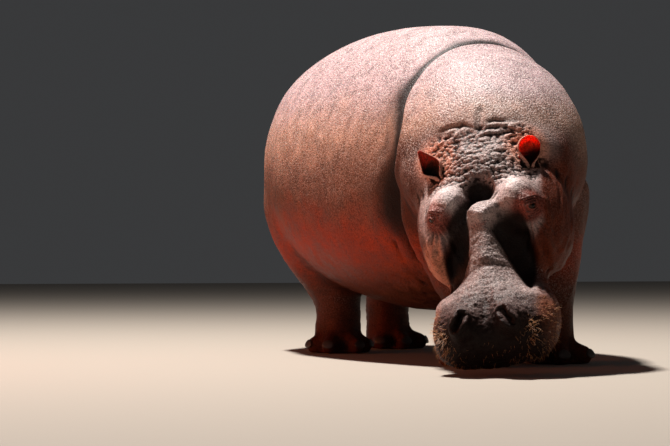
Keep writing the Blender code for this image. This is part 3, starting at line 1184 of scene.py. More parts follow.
@dataclass
class FaceFolds:
    """Wrinkles and pebbled skin of the head, with places in the head's own frame.

    Each method adds its own folds to the rise that it is given, in place.
    """

    guide: Guide
    poll_cobbles: Wrinkles = Wrinkles((0.020, 0.0125, 0.02), 0.0031)
    poll_waves: Wrinkles = Wrinkles((0.060, 0.014, 0.04), 0.0024)
    nape_folds: Wrinkles = Wrinkles((0.070, 0.016, 0.05), 0.0068)
    nape_edge: Crease = Crease(
        ((-0.13, 0.045), (-0.06, 0.082), (0.0, 0.055), (0.06, 0.085), (0.15, 0.065)), 0.008, 0.0095
    )
    groove: Crease = Crease(((0.006, 0.05), (0.010, 0.10), (0.012, 0.14)), 0.009, 0.0030)
    groove_lip: float = 0.022
    eye_hill: Hill = Hill((0.13, -0.25, 0.0), (0.08, 0.09, 0.09))
    eye_wrinkles: Wrinkles = Wrinkles((0.050, 0.0105, 0.03), 0.0027)
    bridge_folds: Wrinkles = Wrinkles((0.055, 0.0130, 0.04), 0.0023)
    bridge_cobbles: Wrinkles = Wrinkles((0.020, 0.012, 0.02), 0.0012)
    muzzle_folds: Wrinkles = Wrinkles((0.030, 0.014, 0.017), 0.0018)
    muzzle_cobbles: Wrinkles = Wrinkles((0.022, 0.015, 0.017), 0.0014)
    cheek_folds: Wrinkles = Wrinkles((0.016, 0.12, 0.024), 0.0035)
    jowl_folds: Wrinkles = Wrinkles((0.05, 0.09, 0.022), 0.0030)
    fans: tuple[tuple[float, float], ...] = ((-0.178, -0.290), (0.176, -0.300))
    fan_height: float = 0.0026
    curtain: Crease = Crease(
        ((0.222, -0.25), (0.228, -0.305), (0.220, -0.36), (0.210, -0.42), (0.190, -0.50)),
        0.013,
        -0.008,
    )
    mouth: Crease = Crease(
        ((-0.86, -0.205), (-0.78, -0.232), (-0.66, -0.238), (-0.54, -0.228), (-0.44, -0.245)),
        0.008,
        0.012,
    )

    def rise(self, points: np.ndarray) -> np.ndarray:
        """How far each point rises off the hide.

        Args:
            points: The hide's points.

        Returns:
            The rise along the normal.
        """
        grain = self.guide.grain
        face = self.guide.head.local(points)
        turned = face + 0.004 * np.column_stack([grain.at(face + k, 0.05) for k in range(3)])
        rise = np.zeros(len(points))
        self.poll(face, turned, rise)
        self.muzzle(face, turned, rise)
        self.cheeks(face, rise)
        self.fan(face, rise)
        self.seams(face, rise)
        return rise

    def poll(self, face: np.ndarray, turned: np.ndarray, rise: np.ndarray) -> None:
        """Adds the cobbled poll, the heavy folds behind it and wrinkles on the eye mounds.

        Args:
            face: Points in the head's own frame.
            turned: The same points, drawn about a little, so that no row of cobbles is straight.
            rise: The rise so far.
        """
        grain = self.guide.grain
        x, y, z = face.T
        width = np.abs(x)
        top = smooth(z, -0.16, -0.06)
        poll = top * within(y, -0.165, 0.050, 0.03) * smooth(width, 0.230, 0.17)
        height = self.poll_cobbles.height + 0.0016 * grain.at(face, 0.06)
        rise += poll * height * grain.cobbles(turned, self.poll_cobbles.size, poll > 0.01)
        rise += poll * self.poll_waves.height * grain.at(face, self.poll_waves.size)
        nape = top * within(y, 0.035, 0.085, 0.02) * smooth(width, 0.19, 0.13)
        rise += nape * self.nape_folds.height * grain.at(face + 0.3, self.nape_folds.size)
        broken = 0.5 + 0.5 * grain.at(face + 0.6, 0.045)
        rise -= top * self.nape_edge.depth * broken * self.nape_edge.at(face[:, :2])
        rise -= top * self.groove.depth * self.groove.at(face[:, :2])
        lip = line_distance(face[:, :2], self.groove.route) - self.groove_lip
        rise += top * self.groove.depth * bell(lip, 0.012)
        mounds = top * self.eye_hill.at(np.column_stack((width, y, z)))
        slant = face + np.column_stack((0 * x, 0.30 * x, 0 * x))
        rise += mounds * self.eye_wrinkles.height * grain.at(slant, self.eye_wrinkles.size)

    def muzzle(self, face: np.ndarray, turned: np.ndarray, rise: np.ndarray) -> None:
        """Adds wavy wrinkles across the bridge of the nose, and pebbles over the muzzle.

        Args:
            face: Points in the head's own frame.
            turned: The same points, drawn about a little.
            rise: The rise so far.
        """
        grain = self.guide.grain
        x, y, z = face.T
        bridge = smooth(z, -0.13, -0.07) * within(y, -0.72, -0.30, 0.04)
        bridge = bridge * smooth(np.abs(x), 0.15, 0.10)
        muzzle = within(y, -0.90, -0.60, 0.05)
        for patch, folds, cobbles, shift in (
            (bridge, self.bridge_folds, self.bridge_cobbles, 0.7),
            (muzzle, self.muzzle_folds, self.muzzle_cobbles, 0.2),
        ):
            rise += patch * folds.height * grain.at(face, folds.size)
            pebbled = grain.cobbles(turned + shift, cobbles.size, patch > 0.01)
            rise += patch * cobbles.height * pebbled

    def cheeks(self, face: np.ndarray, rise: np.ndarray) -> None:
        """Adds long upright folds down the cheeks and the jowls.

        Args:
            face: Points in the head's own frame.
            rise: The rise so far.
        """
        x, y, z = face.T
        cheek = smooth(np.abs(x), 0.15, 0.21) * within(y, -0.60, -0.08, 0.05)
        jowl = smooth(z, -0.06, -0.12) * within(y, -0.55, -0.05, 0.05)
        for patch, folds in ((cheek, self.cheek_folds), (jowl, self.jowl_folds)):
            rise += patch * folds.height * self.guide.grain.at(face, folds.size)

    def fan(self, face: np.ndarray, rise: np.ndarray) -> None:
        """Adds the folds that fan out down the cheek from below each eye.

        Args:
            face: Points in the head's own frame.
            rise: The rise so far.
        """
        x, y, z = face.T
        for across, along in self.fans:
            sign = math.copysign(1, across)
            out, down = (x - across) * sign, along - y
            spread = np.arctan2(out, np.maximum(down, 1e-4))
            ripple = np.cos(spread * 15 + 1.5 * self.guide.grain.at(face, 0.08))
            window = within(np.hypot(out, down), 0.045, 0.17, 0.03) * smooth(down, 0.0, 0.03)
            window *= within(spread, -0.75, 0.80, 0.2) * smooth(z, -0.26, -0.20)
            rise += self.fan_height * ripple * window * (x * sign > 0)

    def seams(self, face: np.ndarray, rise: np.ndarray) -> None:
        """Adds the loose curtain of skin from eye to muzzle, and the closed mouth's line.

        Args:
            face: Points in the head's own frame.
            rise: The rise so far.
        """
        x, y, z = face.T
        curtain = self.curtain.at(np.column_stack((np.abs(x), y)))
        rise -= smooth(z, -0.30, -0.22) * self.curtain.depth * curtain
        mouth = self.mouth.depth * self.mouth.at(np.column_stack((y, z)))
        rise -= mouth * within(y, -0.95, -0.45, 0.03)


@dataclass
class Nostrils:
    """Slit nostrils with raised rims on top of the muzzle."""

    guide: Guide
    slit: tuple[tuple[float, float], ...] = ((0.074, -0.736), (0.082, -0.762), (0.098, -0.776))
    depth: float = 0.0240
    half_width: float = 0.0095
    rim: float = 0.0100
    rim_out: float = 0.018
    rim_width: float = 0.010

    def rise(self, points: np.ndarray) -> np.ndarray:
        """How far each point rises off the hide.

        Args:
            points: The hide's points.

        Returns:
            The rise along the normal.
        """
        face = self.guide.head.local(points)
        rise = np.zeros(len(points))
        above = smooth(face[:, 2], -0.10, -0.04)
        for side in Side:
            route = tuple((side.value * x, y) for x, y in self.slit)
            gap = line_distance(face[:, :2], route)
            rise += above * self.rim * bell(gap - self.rim_out, self.rim_width)
            rise -= above * self.depth * bell(gap, self.half_width)
        return rise


@dataclass
class Lids:
    """An almond opening between two lids over each eyeball, with folds around it.

    The folds' places are in openings: 1 is the lids' own edge.
    """

    guide: Guide
    ball_radius: float = 0.026
    reach: float = 0.100
    half_width: float = 0.0180
    upper: float = 0.0090
    lower: float = 0.0105
    thick: float = 0.0042
    rim: float = 0.0018
    tucked: float = 0.007
    upward: Triple = (0.0, 0.75, 0.66)
    folds: tuple[tuple[float, float], ...] = ((1.95, 0.0042), (2.75, 0.0034), (3.6, 0.0030))
    brow: float = 0.009
    brow_up: float = 0.034

    def pressed(self, points: np.ndarray) -> np.ndarray:
        """Sets the hide round each eye against its ball.

        Args:
            points: The hide's points.

        Returns:
            The moved points.
        """
        moved = points.copy()
        for side in Side:
            centre = np.array(eye_centre(side))
            sight = self.guide.head.sight(side)
            upward = np.array(self.guide.head.way(self.upward))
            upward -= sight * (upward @ sight)
            upward /= np.linalg.norm(upward)
            away = moved - centre
            near = np.linalg.norm(away, axis=1) < self.reach
            away = away[near]
            shift = self.shift(away @ np.cross(upward, sight), away @ upward, away @ sight, away)
            moved[near] += shift[:, None] * sight
        return moved

    def shift(self, a: np.ndarray, b: np.ndarray, out: np.ndarray, away: np.ndarray) -> np.ndarray:
        """How far points near an eye move along its sight.

        Args:
            a: How far each is across the eye.
            b: How far each is up it.
            out: How far each is along its sight.
            away: The whole way from the eye's middle.

        Returns:
            The shift of each point.
        """
        reach = np.hypot(a, b)
        ball = np.sqrt(np.clip(self.ball_radius**2 - reach**2, 0, None))
        ball = np.where(reach < self.ball_radius * 0.92, ball, self.ball_radius * 0.39)
        half_height = np.where(b > 0, self.upper, self.lower)
        opening = np.hypot(a / self.half_width, (b + 0.001) / half_height)
        lid = ball + self.thick + self.rim * bell(opening - 1.15, 0.16)
        hidden = ball - self.tucked
        target = hidden + (lid - hidden) * smooth(opening, 0.90, 1.04)
        hold = smooth(reach, 0.041, 0.027) * smooth(out, -0.070, -0.040)
        steep = smooth(np.abs(b) / np.maximum(reach, 1e-6), 0.15, 0.65)
        fold = np.zeros(len(a))
        for place, depth in self.folds:
            drop = depth * np.where(b > 0, 1.0, 0.75) * steep
            fold -= drop * bell(opening - place, 0.17)
            fold += 0.6 * drop * bell(opening - place - 0.38, 0.24)
        fold += self.brow * np.exp(-(((b - self.brow_up) / 0.013) ** 2) - (a / 0.034) ** 2)
        close = smooth(np.linalg.norm(away, axis=1), 0.095, 0.060)
        return hold * (target - out) + fold * smooth(reach, 0.066, 0.046) * close


# ------------------------------------------------------------------ ears
@dataclass(frozen=True)
class EarForm:
    """How one ear is held and shaped.

    Its root is in the head's frame and its directions are in the row's. It is widest at a share
    of its length, and its rim runs from there to the tip as a power curve.
    """

    root: Triple
    along: Triple
    mouth: Triple
    length: float
    reach: float
    widest: float
    point: float


EAR_FORMS = {
    Side.LEFT: EarForm(
        root=(0.172, -0.082, -0.060),
        along=(-0.04, -0.20, 0.97),
        mouth=(-0.09, -1.0, 0.0),
        length=0.100,
        reach=0.041,
        widest=0.62,
        point=0.5,
    ),
    Side.RIGHT: EarForm(
        root=(-0.172, -0.080, -0.050),
        along=(-0.62, 0.18, 0.76),
        mouth=(-0.42, -0.90, -0.30),
        length=0.118,
        reach=0.038,
        widest=0.34,
        point=0.95,
    ),
}


@dataclass
class Ear:
    """A small round cupped ear on a short stalk, grown out of the hide."""

    side: Side
    head: Head
    stalk: float = 0.015
    wall: float = 0.0055
    sunk: float = 0.030
    flatness: float = 0.78
    backward: float = 0.010
    closed_deg: float = 165.0
    opened_deg: float = 72.0
    grid: int = 40
    voxel: float = 0.0020
    near: float = 0.15
    skin_gap: float = 0.0008
    surface: BVHTree | None = field(default=None, init=False)

    @property
    def form(self) -> EarForm:
        """How this side's ear is held and shaped."""
        return EAR_FORMS[self.side]

    def frame(self) -> Matrix:
        """The ear's own frame at its root.

        Returns:
            A matrix with +Z along the ear and -Y out of its mouth.
        """
        up = Vector(self.form.along).normalized()
        out = Vector(self.form.mouth)
        out = (out - up * out.dot(up)).normalized()
        turn = Matrix((up.cross(out), -out, up)).transposed().to_4x4()
        return Matrix.Translation(self.head.place @ Vector(self.form.root)) @ turn

    def radius(self, share: float) -> float:
        """How wide the ear is.

        Args:
            share: Where along the ear, from 0 at the stalk to 1 at the tip.

        Returns:
            The cup's radius there.
        """
        form = self.form
        if share < form.widest:
            grown = share / form.widest
            return self.stalk + (form.reach - self.stalk) * grown**1.3 * (2.3 - 1.3 * grown)
        past = (share - form.widest) / (1 - form.widest)
        return form.reach * max(1 - past ** (1 / form.point), 0.02) ** form.point

    def shell(self) -> bpy.types.Object:
        """Rolls a sheet into the closed-walled cup.

        Returns:
            A closed object, rooted below the hide.
        """
        mesh = bmesh.new()
        bmesh.ops.create_grid(mesh, x_segments=self.grid, y_segments=self.grid, size=1.0)
        for vertex in mesh.verts:
            up = (vertex.co.y + 1) / 2
            along = -self.sunk + up * (self.form.length + self.sunk)
            share = max(along, 0.0) / self.form.length
            radius = self.radius(share)
            close = math.radians(self.closed_deg - self.opened_deg * min(share / 0.5, 1.0))
            angle = vertex.co.x * close
            across = radius * math.sin(angle)
            back = radius * self.flatness * math.cos(angle) + self.backward * share
            vertex.co = Vector((across, back, along))
        bmesh.ops.recalc_face_normals(mesh, faces=mesh.faces)
        bmesh.ops.solidify(mesh, geom=mesh.faces[:], thickness=self.wall)
        bmesh.ops.recalc_face_normals(mesh, faces=mesh.faces)
        bmesh.ops.transform(mesh, matrix=self.frame(), verts=mesh.verts)
        ear = remeshed(linked(f"ear_{self.side.word}_shell", mesh), self.voxel)
        move_to(ear.data, relaxed(coordinates(ear.data), edges_of(ear.data), 0.5, 3))
        return ear

    def grow(self, thing: bpy.types.Object) -> None:
        """Joins the ear to the hide, and keeps its surface to tell its points by.

        Args:
            thing: The hide.
        """
        ear = self.shell()
        self.surface = BVHTree.FromObject(ear, bpy.context.evaluated_depsgraph_get())
        step = thing.modifiers.new("grow", "BOOLEAN")
        step.operation = "UNION"
        step.solver = "MANIFOLD"
        step.object = ear
        before = len(thing.data.vertices)
        applied(thing)
        LOG.info("ear %s: %d points added", self.side.word, len(thing.data.vertices) - before)
        bpy.data.objects.remove(ear)

    def zones(
        self, points: np.ndarray, normals: np.ndarray
    ) -> tuple[np.ndarray, np.ndarray, np.ndarray]:
        """Where the ear, the inside of its cup and the cup's shaded depth are.

        Args:
            points: The hide's points.
            normals: Their normals.

        Returns:
            Each zone as a number from 0 to 1 for every point.
        """
        form = self.form
        back = np.array(self.frame().inverted())
        spot = points @ back[:3, :3].T + back[:3, 3]
        way = normals @ back[:3, :3].T
        on_ear = np.zeros(len(points))
        for index in np.nonzero(np.linalg.norm(spot, axis=1) < self.near)[0]:
            if self.surface.find_nearest(points[index], self.skin_gap)[0] is not None:
                on_ear[index] = 1.0
        share = spot[:, 2] / form.length
        wide = np.hypot(spot[:, 0], spot[:, 1])
        # The hide that closes the bottom of the cup belongs to it too.
        floor = (wide < form.reach + 0.001) & (np.abs(share - 0.35) < 0.5) & (on_ear == 0)
        inward = -(way[:, 0] * spot[:, 0] + way[:, 1] * spot[:, 1]) / np.maximum(wide, 1e-6)
        cup = np.where(floor, 1.0, on_ear * smooth(inward, -0.1, 0.35))
        on_ear = np.maximum(on_ear, floor)
        lean = 0.18 * spot[:, 0] / form.reach * self.side.value
        deep = smooth(share - lean, 0.60, 0.24)
        return on_ear, cup, deep * (0.25 + 0.75 * cup)


# ------------------------------------------------------------------ tones of the hide
@dataclass
class HideTones:
    """Where each tone of the hide, the painted shade of its folds, its dust and painted glints, and
    its blood-red ears lie.

    The numbers in its methods are places: heights above the floor for the body, and the head's
    own frame for the head. Each patch fades from 0 to 1 between two of them.
    """

    guide: Guide
    nose: NoseForms
    ears: list[Ear]
    mesh: bpy.types.Mesh
    ear_root: Triple
    flush_off: Triple = (0.0, 0.055, 0.03)
    # Painted shade just above the forehead pit and at the top of the left nose hollow.
    pit_saddle: Hill = Hill((-0.010, -0.135, -0.02), (0.07, 0.03, 0.09), 0.7)
    nose_saddle: Hill = Hill((0.088, -0.330, -0.04), (0.05, 0.045, 0.09), 0.8)
    # Where the painted highlight lies: the two eye mounds and the nose's knob.
    lit: tuple[Hill, ...] = (
        Hill((-0.140, -0.235, 0.02), (0.075, 0.085, 0.09)),
        Hill((0.098, -0.205, 0.02), (0.060, 0.055, 0.08)),
        Hill((-0.004, -0.290, -0.01), (0.055, 0.060, 0.06), 0.48),
    )

    def __post_init__(self) -> None:
        """Reads the finished hide."""
        grain = self.guide.grain
        self.points = coordinates(self.mesh)
        self.normals = normals_of(self.mesh)
        self.height = self.points[:, 2]
        self.face = self.guide.head.local(self.points)
        x, y, z = self.face.T
        self.width = np.abs(x)
        on_head = smooth(y, 0.16, 0.02) * smooth(z, -0.50, -0.38) * smooth(self.width, 0.36, 0.29)
        self.on_head = on_head * smooth(self.points[:, 1], -0.74, -0.86)
        self.ahead = self.guide.ahead(self.points)
        self.wander = 0.05 * grain.at(self.points, 0.09) + 0.03 * grain.at(self.points, 0.035)
        self.zones = [ear.zones(self.points, self.normals) for ear in self.ears]

    def under(self) -> np.ndarray:
        """Finds the front of the muzzle, which hangs in its own shade.

        Returns:
            1 on it and 0 off it.
        """
        y = self.face[:, 1]
        under = smooth(y, -0.64, -0.72) * smooth(self.normals[:, 2], 0.50, 0.10)
        under = np.maximum(under, smooth(y + 0.3 * self.wander, -0.765, -0.800))
        return under * self.on_head * smooth(self.width, 0.27, 0.16)

    def folds(self) -> np.ndarray:
        """Finds where shade is painted: in the sunk hide, in a band behind the neck's fold, in the
        nose's hollows and the forehead pit, and on the muzzle's front.

        Returns:
            For each point, from 0 for open hide to 1 for the bottom of a deep fold.
        """
        z = self.face[:, 2]
        # Painted shade in all that is sunk, stronger on the rugged head.
        rested = relaxed(self.points, edges_of(self.mesh), 0.5, 14)
        sunk = ((rested - self.points) * self.normals).sum(axis=1)
        rugged = self.on_head * smooth(self.face[:, 1], -0.36, -0.22)
        folds = smooth(sunk, 0.0004, 0.0030 - 0.0016 * rugged) * (0.55 + 0.39 * rugged)
        flank = self.guide.flank(self.height)
        # Painted shade in a band behind the neck's fold, widest on the flank.
        ring = bell(self.ahead, np.where(self.ahead < 0, 0.040 + 0.080 * flank, 0.013))
        ring = np.minimum(1.5 * ring, 1.0) * smooth(self.height, 0.34, 0.6)
        folds = np.maximum(folds, 0.96 * ring * (1 - self.on_head))
        # Painted shadow in the nose's hollows and the forehead pit, cast there by the mounds and the
        # brow above.
        hollow = smooth(self.nose.hollows(self.face)[1], 0.22, 0.72)
        hollow = np.maximum(hollow, smooth(self.nose.arch(self.face), 1.12, 0.80))
        hollow *= self.on_head * smooth(z, -0.31, -0.27)
        folds = np.maximum(folds, 0.95 * hollow)
        folds = np.maximum(folds, 0.80 * self.under())
        for on_ear, _, _ in self.zones:
            folds *= 1 - on_ear
        return folds

    def dust_and_glints(self) -> np.ndarray:
        """Finds where dust settles and pale glints are painted: on what faces up, and least on the
        wet muzzle.

        Returns:
            For each point, from 0 for clean to 1 for dust with painted glints.
        """
        x, y, _ = self.face.T
        dust_and_glints = smooth(self.normals[:, 2], -0.45, 0.75) * smooth(self.height, 0.1, 0.5)
        for on_ear, _, _ in self.zones:
            dust_and_glints *= 1 - on_ear
        bare = np.maximum(smooth(y, -0.70, -0.80), smooth(x, 0.150, 0.200))
        return dust_and_glints * (1 - 0.35 * self.on_head) * (1 - 0.8 * self.on_head * bare)

    def lay_body(self, paint: Paint) -> None:
        """Lays the tones of the trunk and the legs, darker and redder toward the belly: partly their
        own colour, partly painted shade below the lit back and painted warm bounce light on the
        belly.

        Args:
            paint: The colours so far.
        """
        # Faces that look up are read as higher, so they keep the paler tones: partly painted light
        # from above.
        tilt = self.height + 0.10 * self.normals[:, 2] + self.wander
        paint.lay(smooth(tilt, 1.22, 0.92), Tone.FLANK)
        paint.lay(0.85 * smooth(tilt, 1.00, 0.74), Tone.SHADED_FLANK)
        paint.lay(smooth(tilt, 0.74, 0.42), Tone.BELLY)
        paint.lay(smooth(self.height, 0.50, 0.26) * (1 - self.on_head), Tone.LEG)

    def lay_head(self, paint: Paint) -> None:
        """Lays the tones of the head, from the brow down and then its smaller patches, among them
        painted shade and a painted highlight.

        Args:
            paint: The colours so far.
        """
        x, y, z = self.face.T
        head = self.on_head
        paint.lay(head * smooth(z, -0.30, -0.12), Tone.BROW)
        paint.lay(head * smooth(z, -0.05, -0.16) * smooth(y, -0.62, -0.50), Tone.CHEEK)
        paint.lay(head * smooth(y, -0.60, -0.66), Tone.MUZZLE)
        lips = head * smooth(y, -0.58, -0.64) * smooth(self.width, 0.165, 0.205)
        paint.lay(0.8 * lips, Tone.LIP)
        # Painted shade on the front of the muzzle and below the nostrils.
        paint.lay(0.95 * self.under(), Tone.SHADE)
        # The jowls' own darker red, kept off the tops that face up, so it is partly painted shade on
        # the sides turned from the light.
        start = np.interp(y, (-0.38, -0.33), (0.150, 0.195))
        jowl = smooth(x - start, 0.0, 0.030) * smooth(y, -0.64, -0.58) * smooth(y, 0.0, -0.10)
        paint.lay(head * jowl * smooth(self.normals[:, 2], 0.95, 0.65), Tone.CHEEK)
        bridge = within(y, -0.60, -0.37, 0.05) * smooth(self.width, 0.16, 0.11)
        paint.lay(0.5 * head * bridge, Tone.SADDLE)
        strip = smooth(-x, 0.165, 0.190) * smooth(y, -0.31, -0.36) * smooth(y, -0.56, -0.50)
        paint.lay(0.65 * head * strip, Tone.FLUSH)
        # Painted shade widening the dark of the forehead pit and of the left nose hollow.
        paint.lay(head * self.pit_saddle.at(self.face), Tone.SADDLE)
        paint.lay(head * self.nose_saddle.at(self.face), Tone.SADDLE)
        # Painted highlight on the tops of the eye mounds and the knob, where the light from above
        # falls hardest.
        lit = np.max([hill.at(self.face) for hill in self.lit], axis=0)
        paint.lay(0.9 * head * smooth(lit, 0.22, 0.72), Tone.MOUND)
        # Painted shade of the head on the side of the neck below it, in the legs' dark tone.
        throat = within(self.ahead, 0.03, 0.26, 0.06) * within(self.height, 0.56, 0.84, 0.10)
        paint.lay(0.85 * throat * smooth(self.points[:, 1], -0.90, -0.80), Tone.LEG)

    def lay_ears(self, paint: Paint) -> None:
        """Lays the flush behind each ear, the lids of each eye and the ears' tones, with a painted
        highlight on their rims, a painted glow in the left cup and painted shade in the right cup
        and deep in both.

        Args:
            paint: The colours so far.
        """
        for ear, (on_ear, cup, deep) in zip(self.ears, self.zones):
            root = np.array((ear.side.value * self.ear_root[0], *self.ear_root[1:]))
            away = np.linalg.norm(self.face - root - np.array(self.flush_off), axis=1)
            paint.lay(0.85 * smooth(away, 0.120, 0.05), Tone.FLUSH)
            away = np.linalg.norm(self.points - np.array(eye_centre(ear.side)), axis=1)
            paint.lay(0.9 * smooth(away, 0.082, 0.048), Tone.LID)
            # The ear's own pale pink, with a painted highlight along its lit rim.
            paint.lay(on_ear, Tone.RIM)
            # The left cup's red is brightened as a painted glow of light through the ear, and the
            # right cup is painted in shade.
            paint.lay(cup, Tone.BLOOD_AND_GLOW if ear.side is Side.LEFT else Tone.SHADED_CUP)
            # Painted shade deep in each cup.
            paint.lay(on_ear * deep, Tone.SHADE)

    def store(self) -> None:
        """Keeps all of it on the mesh, as the attributes that the hide's finish reads."""
        attribute(self.mesh, "fold", self.folds())
        left, right = (cup for _, cup, _ in self.zones)
        attribute(self.mesh, "blood_and_glow", np.maximum(left, 0.3 * right))
        attribute(self.mesh, "dust_and_glints", self.dust_and_glints())
        paint = Paint(len(self.points), Tone.BACK)
        self.lay_body(paint)
        self.lay_head(paint)
        self.lay_ears(paint)
        paint.store(self.mesh)


# ------------------------------------------------------------------ the hide
@dataclass
class Hide:
    """One skin over all the flesh, ears included.

    It is worked in stages: fused from the solids, evened, pressed into folds and wrinkles,
    thinned to what a file can hold, given its ears and dressed in its tones.
    """

    guide: Guide = field(default_factory=Guide)
    coarse: float = 0.010
    fine: float = 0.0066
    puffed: float = 0.0012
    triangles: int = 186_000
    fine_by_eye: float = 0.062
    fine_by_fold: float = 0.03
    ear_root: Triple = (0.172, -0.081, -0.057)
    plug_depths: tuple[float, float] = (-0.018, -0.036)
    plug_radius: float = 0.024
    flesh: tuple[str, ...] = (
        "trunk",
        "neck",
        "head",
        "lower_jaw",
        "tail",
        *(f"{limb}_{side.word}" for limb in LIMBS for side in Side),
    )

    def fused(self) -> bpy.types.Object:
        """Joins copies of the flesh, and fills the pockets of the eyes, nails and ears.

        Returns:
            The first rough hide.
        """
        head = self.guide.head
        mesh = bmesh.new()
        plugs = [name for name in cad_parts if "nail" in name or name.startswith("eye")]
        for name in (*self.flesh, *plugs):
            mesh.from_mesh(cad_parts[name].data)
        bmesh.ops.remove_doubles(mesh, verts=mesh.verts, dist=0.00002)
        mesh.normal_update()
        for vertex in mesh.verts:
            vertex.co += vertex.normal * self.puffed
        for side in Side:
            x, y, z = self.ear_root
            root = head.place @ Vector((side.value * x, y, z))
            for depth in self.plug_depths:
                inside = root + head.way((-side.value * 0.3, 0, 1)) * depth
                bmesh.ops.create_icosphere(
                    mesh,
                    subdivisions=2,
                    radius=self.plug_radius,
                    matrix=Matrix.Translation(inside),
                )
        thing = linked("hide", mesh)
        thing.data.materials.clear()
        return remeshed(thing, self.coarse)

    def evened(self, thing: bpy.types.Object) -> bpy.types.Object:
        """Softens the facets of the solids, and makes faces finer where the detail will be.

        Args:
            thing: The rough hide.

        Returns:
            The same object.
        """
        guide = self.guide
        points = coordinates(thing.data)
        edges = edges_of(thing.data)
        strength = 0.10 + 0.42 * smooth(points[:, 2], 0.14, 0.40)
        strength *= 0.30 + 0.70 * smooth(guide.head.local(points)[:, 1], 0.00, 0.14)
        strength *= 1 - 0.9 * guide.on_tail(points, 0.02)
        points = relaxed(points, edges, strength, 45)
        move_to(thing.data, relaxed(points, edges, 0.4, 3))
        remeshed(thing, self.fine)
        points = relaxed(coordinates(thing.data), edges_of(thing.data), 0.5, 5)
        move_to(thing.data, points)
        face = guide.head.local(points)
        refined(thing, (face[:, 1] < 0.10) & (face[:, 2] > -0.30) & (face[:, 1] > -0.95))
        for side in Side:
            away = np.linalg.norm(coordinates(thing.data) - np.array(eye_centre(side)), axis=1)
            refined(thing, away < self.fine_by_eye)
        points = coordinates(thing.data)
        ring = np.abs(guide.fold.ahead(points)) < self.fine_by_fold
        refined(thing, ring & (points[:, 2] > 0.5) & (guide.head.local(points)[:, 1] > 0.12))
        return thing

    def sculpted(self, thing: bpy.types.Object, nose: NoseForms) -> None:
        """Presses every fold into the hide, large ones first.

        Args:
            thing: The hide.
            nose: The face's large forms.
        """
        guide = self.guide
        move_to(thing.data, nose.pressed(coordinates(thing.data)))
        for folds in (BodyFolds(guide), LimbFolds(guide), Toes(), FaceFolds(guide), Nostrils(guide)):
            points = coordinates(thing.data)
            off_floor = smooth(points[:, 2], 0.0, 0.012)
            points += normals_of(thing.data) * (folds.rise(points) * off_floor)[:, None]
            move_to(thing.data, points)
        move_to(thing.data, Lids(guide).pressed(coordinates(thing.data)))

    def reduced(self, thing: bpy.types.Object) -> None:
        """Thins the hide, keeps the face, feet, tail and neck fold fine, and flattens the soles.

        Args:
            thing: The hide.
        """
        points = coordinates(thing.data)
        face = self.guide.head.local(points)
        keep = 0.55 * smooth(face[:, 1], 0.16, 0.0) * smooth(face[:, 2], -0.36, -0.22)
        for side in Side:
            away = np.linalg.norm(points - np.array(eye_centre(side)), axis=1)
            keep = np.maximum(keep, smooth(away, 0.075, 0.055))
        keep = np.maximum(keep, 0.45 * smooth(points[:, 2], 0.15, 0.11))
        keep = np.maximum(keep, 0.6 * self.guide.on_tail(points, 0.0))
        ring = 0.75 * within(self.guide.fold.ahead(points), -0.015, 0.015, 0.02)
        keep = np.maximum(keep, ring * smooth(points[:, 2], 0.3, 0.5))
        thinned(thing, self.triangles, keep)
        points = coordinates(thing.data)
        points[:, 2] = np.maximum(points[:, 2], 0.0)
        move_to(thing.data, points)

    def build(self) -> bpy.types.Object:
        """Makes the hide and attaches it to the body.

        Returns:
            The finished piece.
        """
        thing = self.evened(self.fused())
        LOG.info("hide evened: %d points", len(thing.data.vertices))
        nose = NoseForms(self.guide)
        self.sculpted(thing, nose)
        self.reduced(thing)
        ears = [Ear(side, self.guide.head) for side in Side]
        for ear in ears:
            ear.grow(thing)
        HideTones(self.guide, nose, ears, thing.data, self.ear_root).store()
        thing.vertex_groups.clear()
        thing.data.shade_smooth()
        thing.data.materials.clear()
        thing.data.materials.append(HideFinish().material())
        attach(thing, BODY)
        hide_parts(*self.flesh, "ear_left", "ear_right")
        LOG.info("hide: %d faces", len(thing.data.polygons))
        return thing


# ------------------------------------------------------------------ eyes, nails and bristles
@dataclass
class Eye:
    """One eyeball with a slight clear bulge over its iris."""

    side: Side
    head: Head
    radius: float = 0.0258
    bulge: float = 0.035
    bulge_angle: float = 0.45
    segments: int = 48
    rings: int = 40

    def build(self) -> bpy.types.Object:
        """Makes the eyeball.

        Returns:
            The finished piece.
        """
        mesh = bmesh.new()
        sight = Vector(self.head.sight(self.side))
        turn = sight.to_track_quat("Z", "Y").to_matrix().to_4x4()
        bmesh.ops.create_uvsphere(
            mesh, u_segments=self.segments, v_segments=self.rings, radius=self.radius
        )
        layer = mesh.verts.layers.float.new("off_sight")
        for vertex in mesh.verts:
            angle = vertex.co.angle(Vector((0, 0, 1)))
            vertex[layer] = angle / (math.pi / 2)
            vertex.co *= 1 + self.bulge * math.exp(-((angle / self.bulge_angle) ** 2))
        matrix = Matrix.Translation(eye_centre(self.side)) @ turn
        bmesh.ops.transform(mesh, matrix=matrix, verts=mesh.verts)
        thing = linked(f"eyeball_{self.side.word}", mesh)
        thing.data.shade_smooth()
        thing.data.materials.append(EyeFinish().material())
        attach(thing, BODY)
        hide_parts(f"eye_{self.side.word}")
        f"eye_gloss_eye_{self.side.word}"
        LOG.info("%s: %d faces", thing.name, len(thing.data.polygons))
        return thing


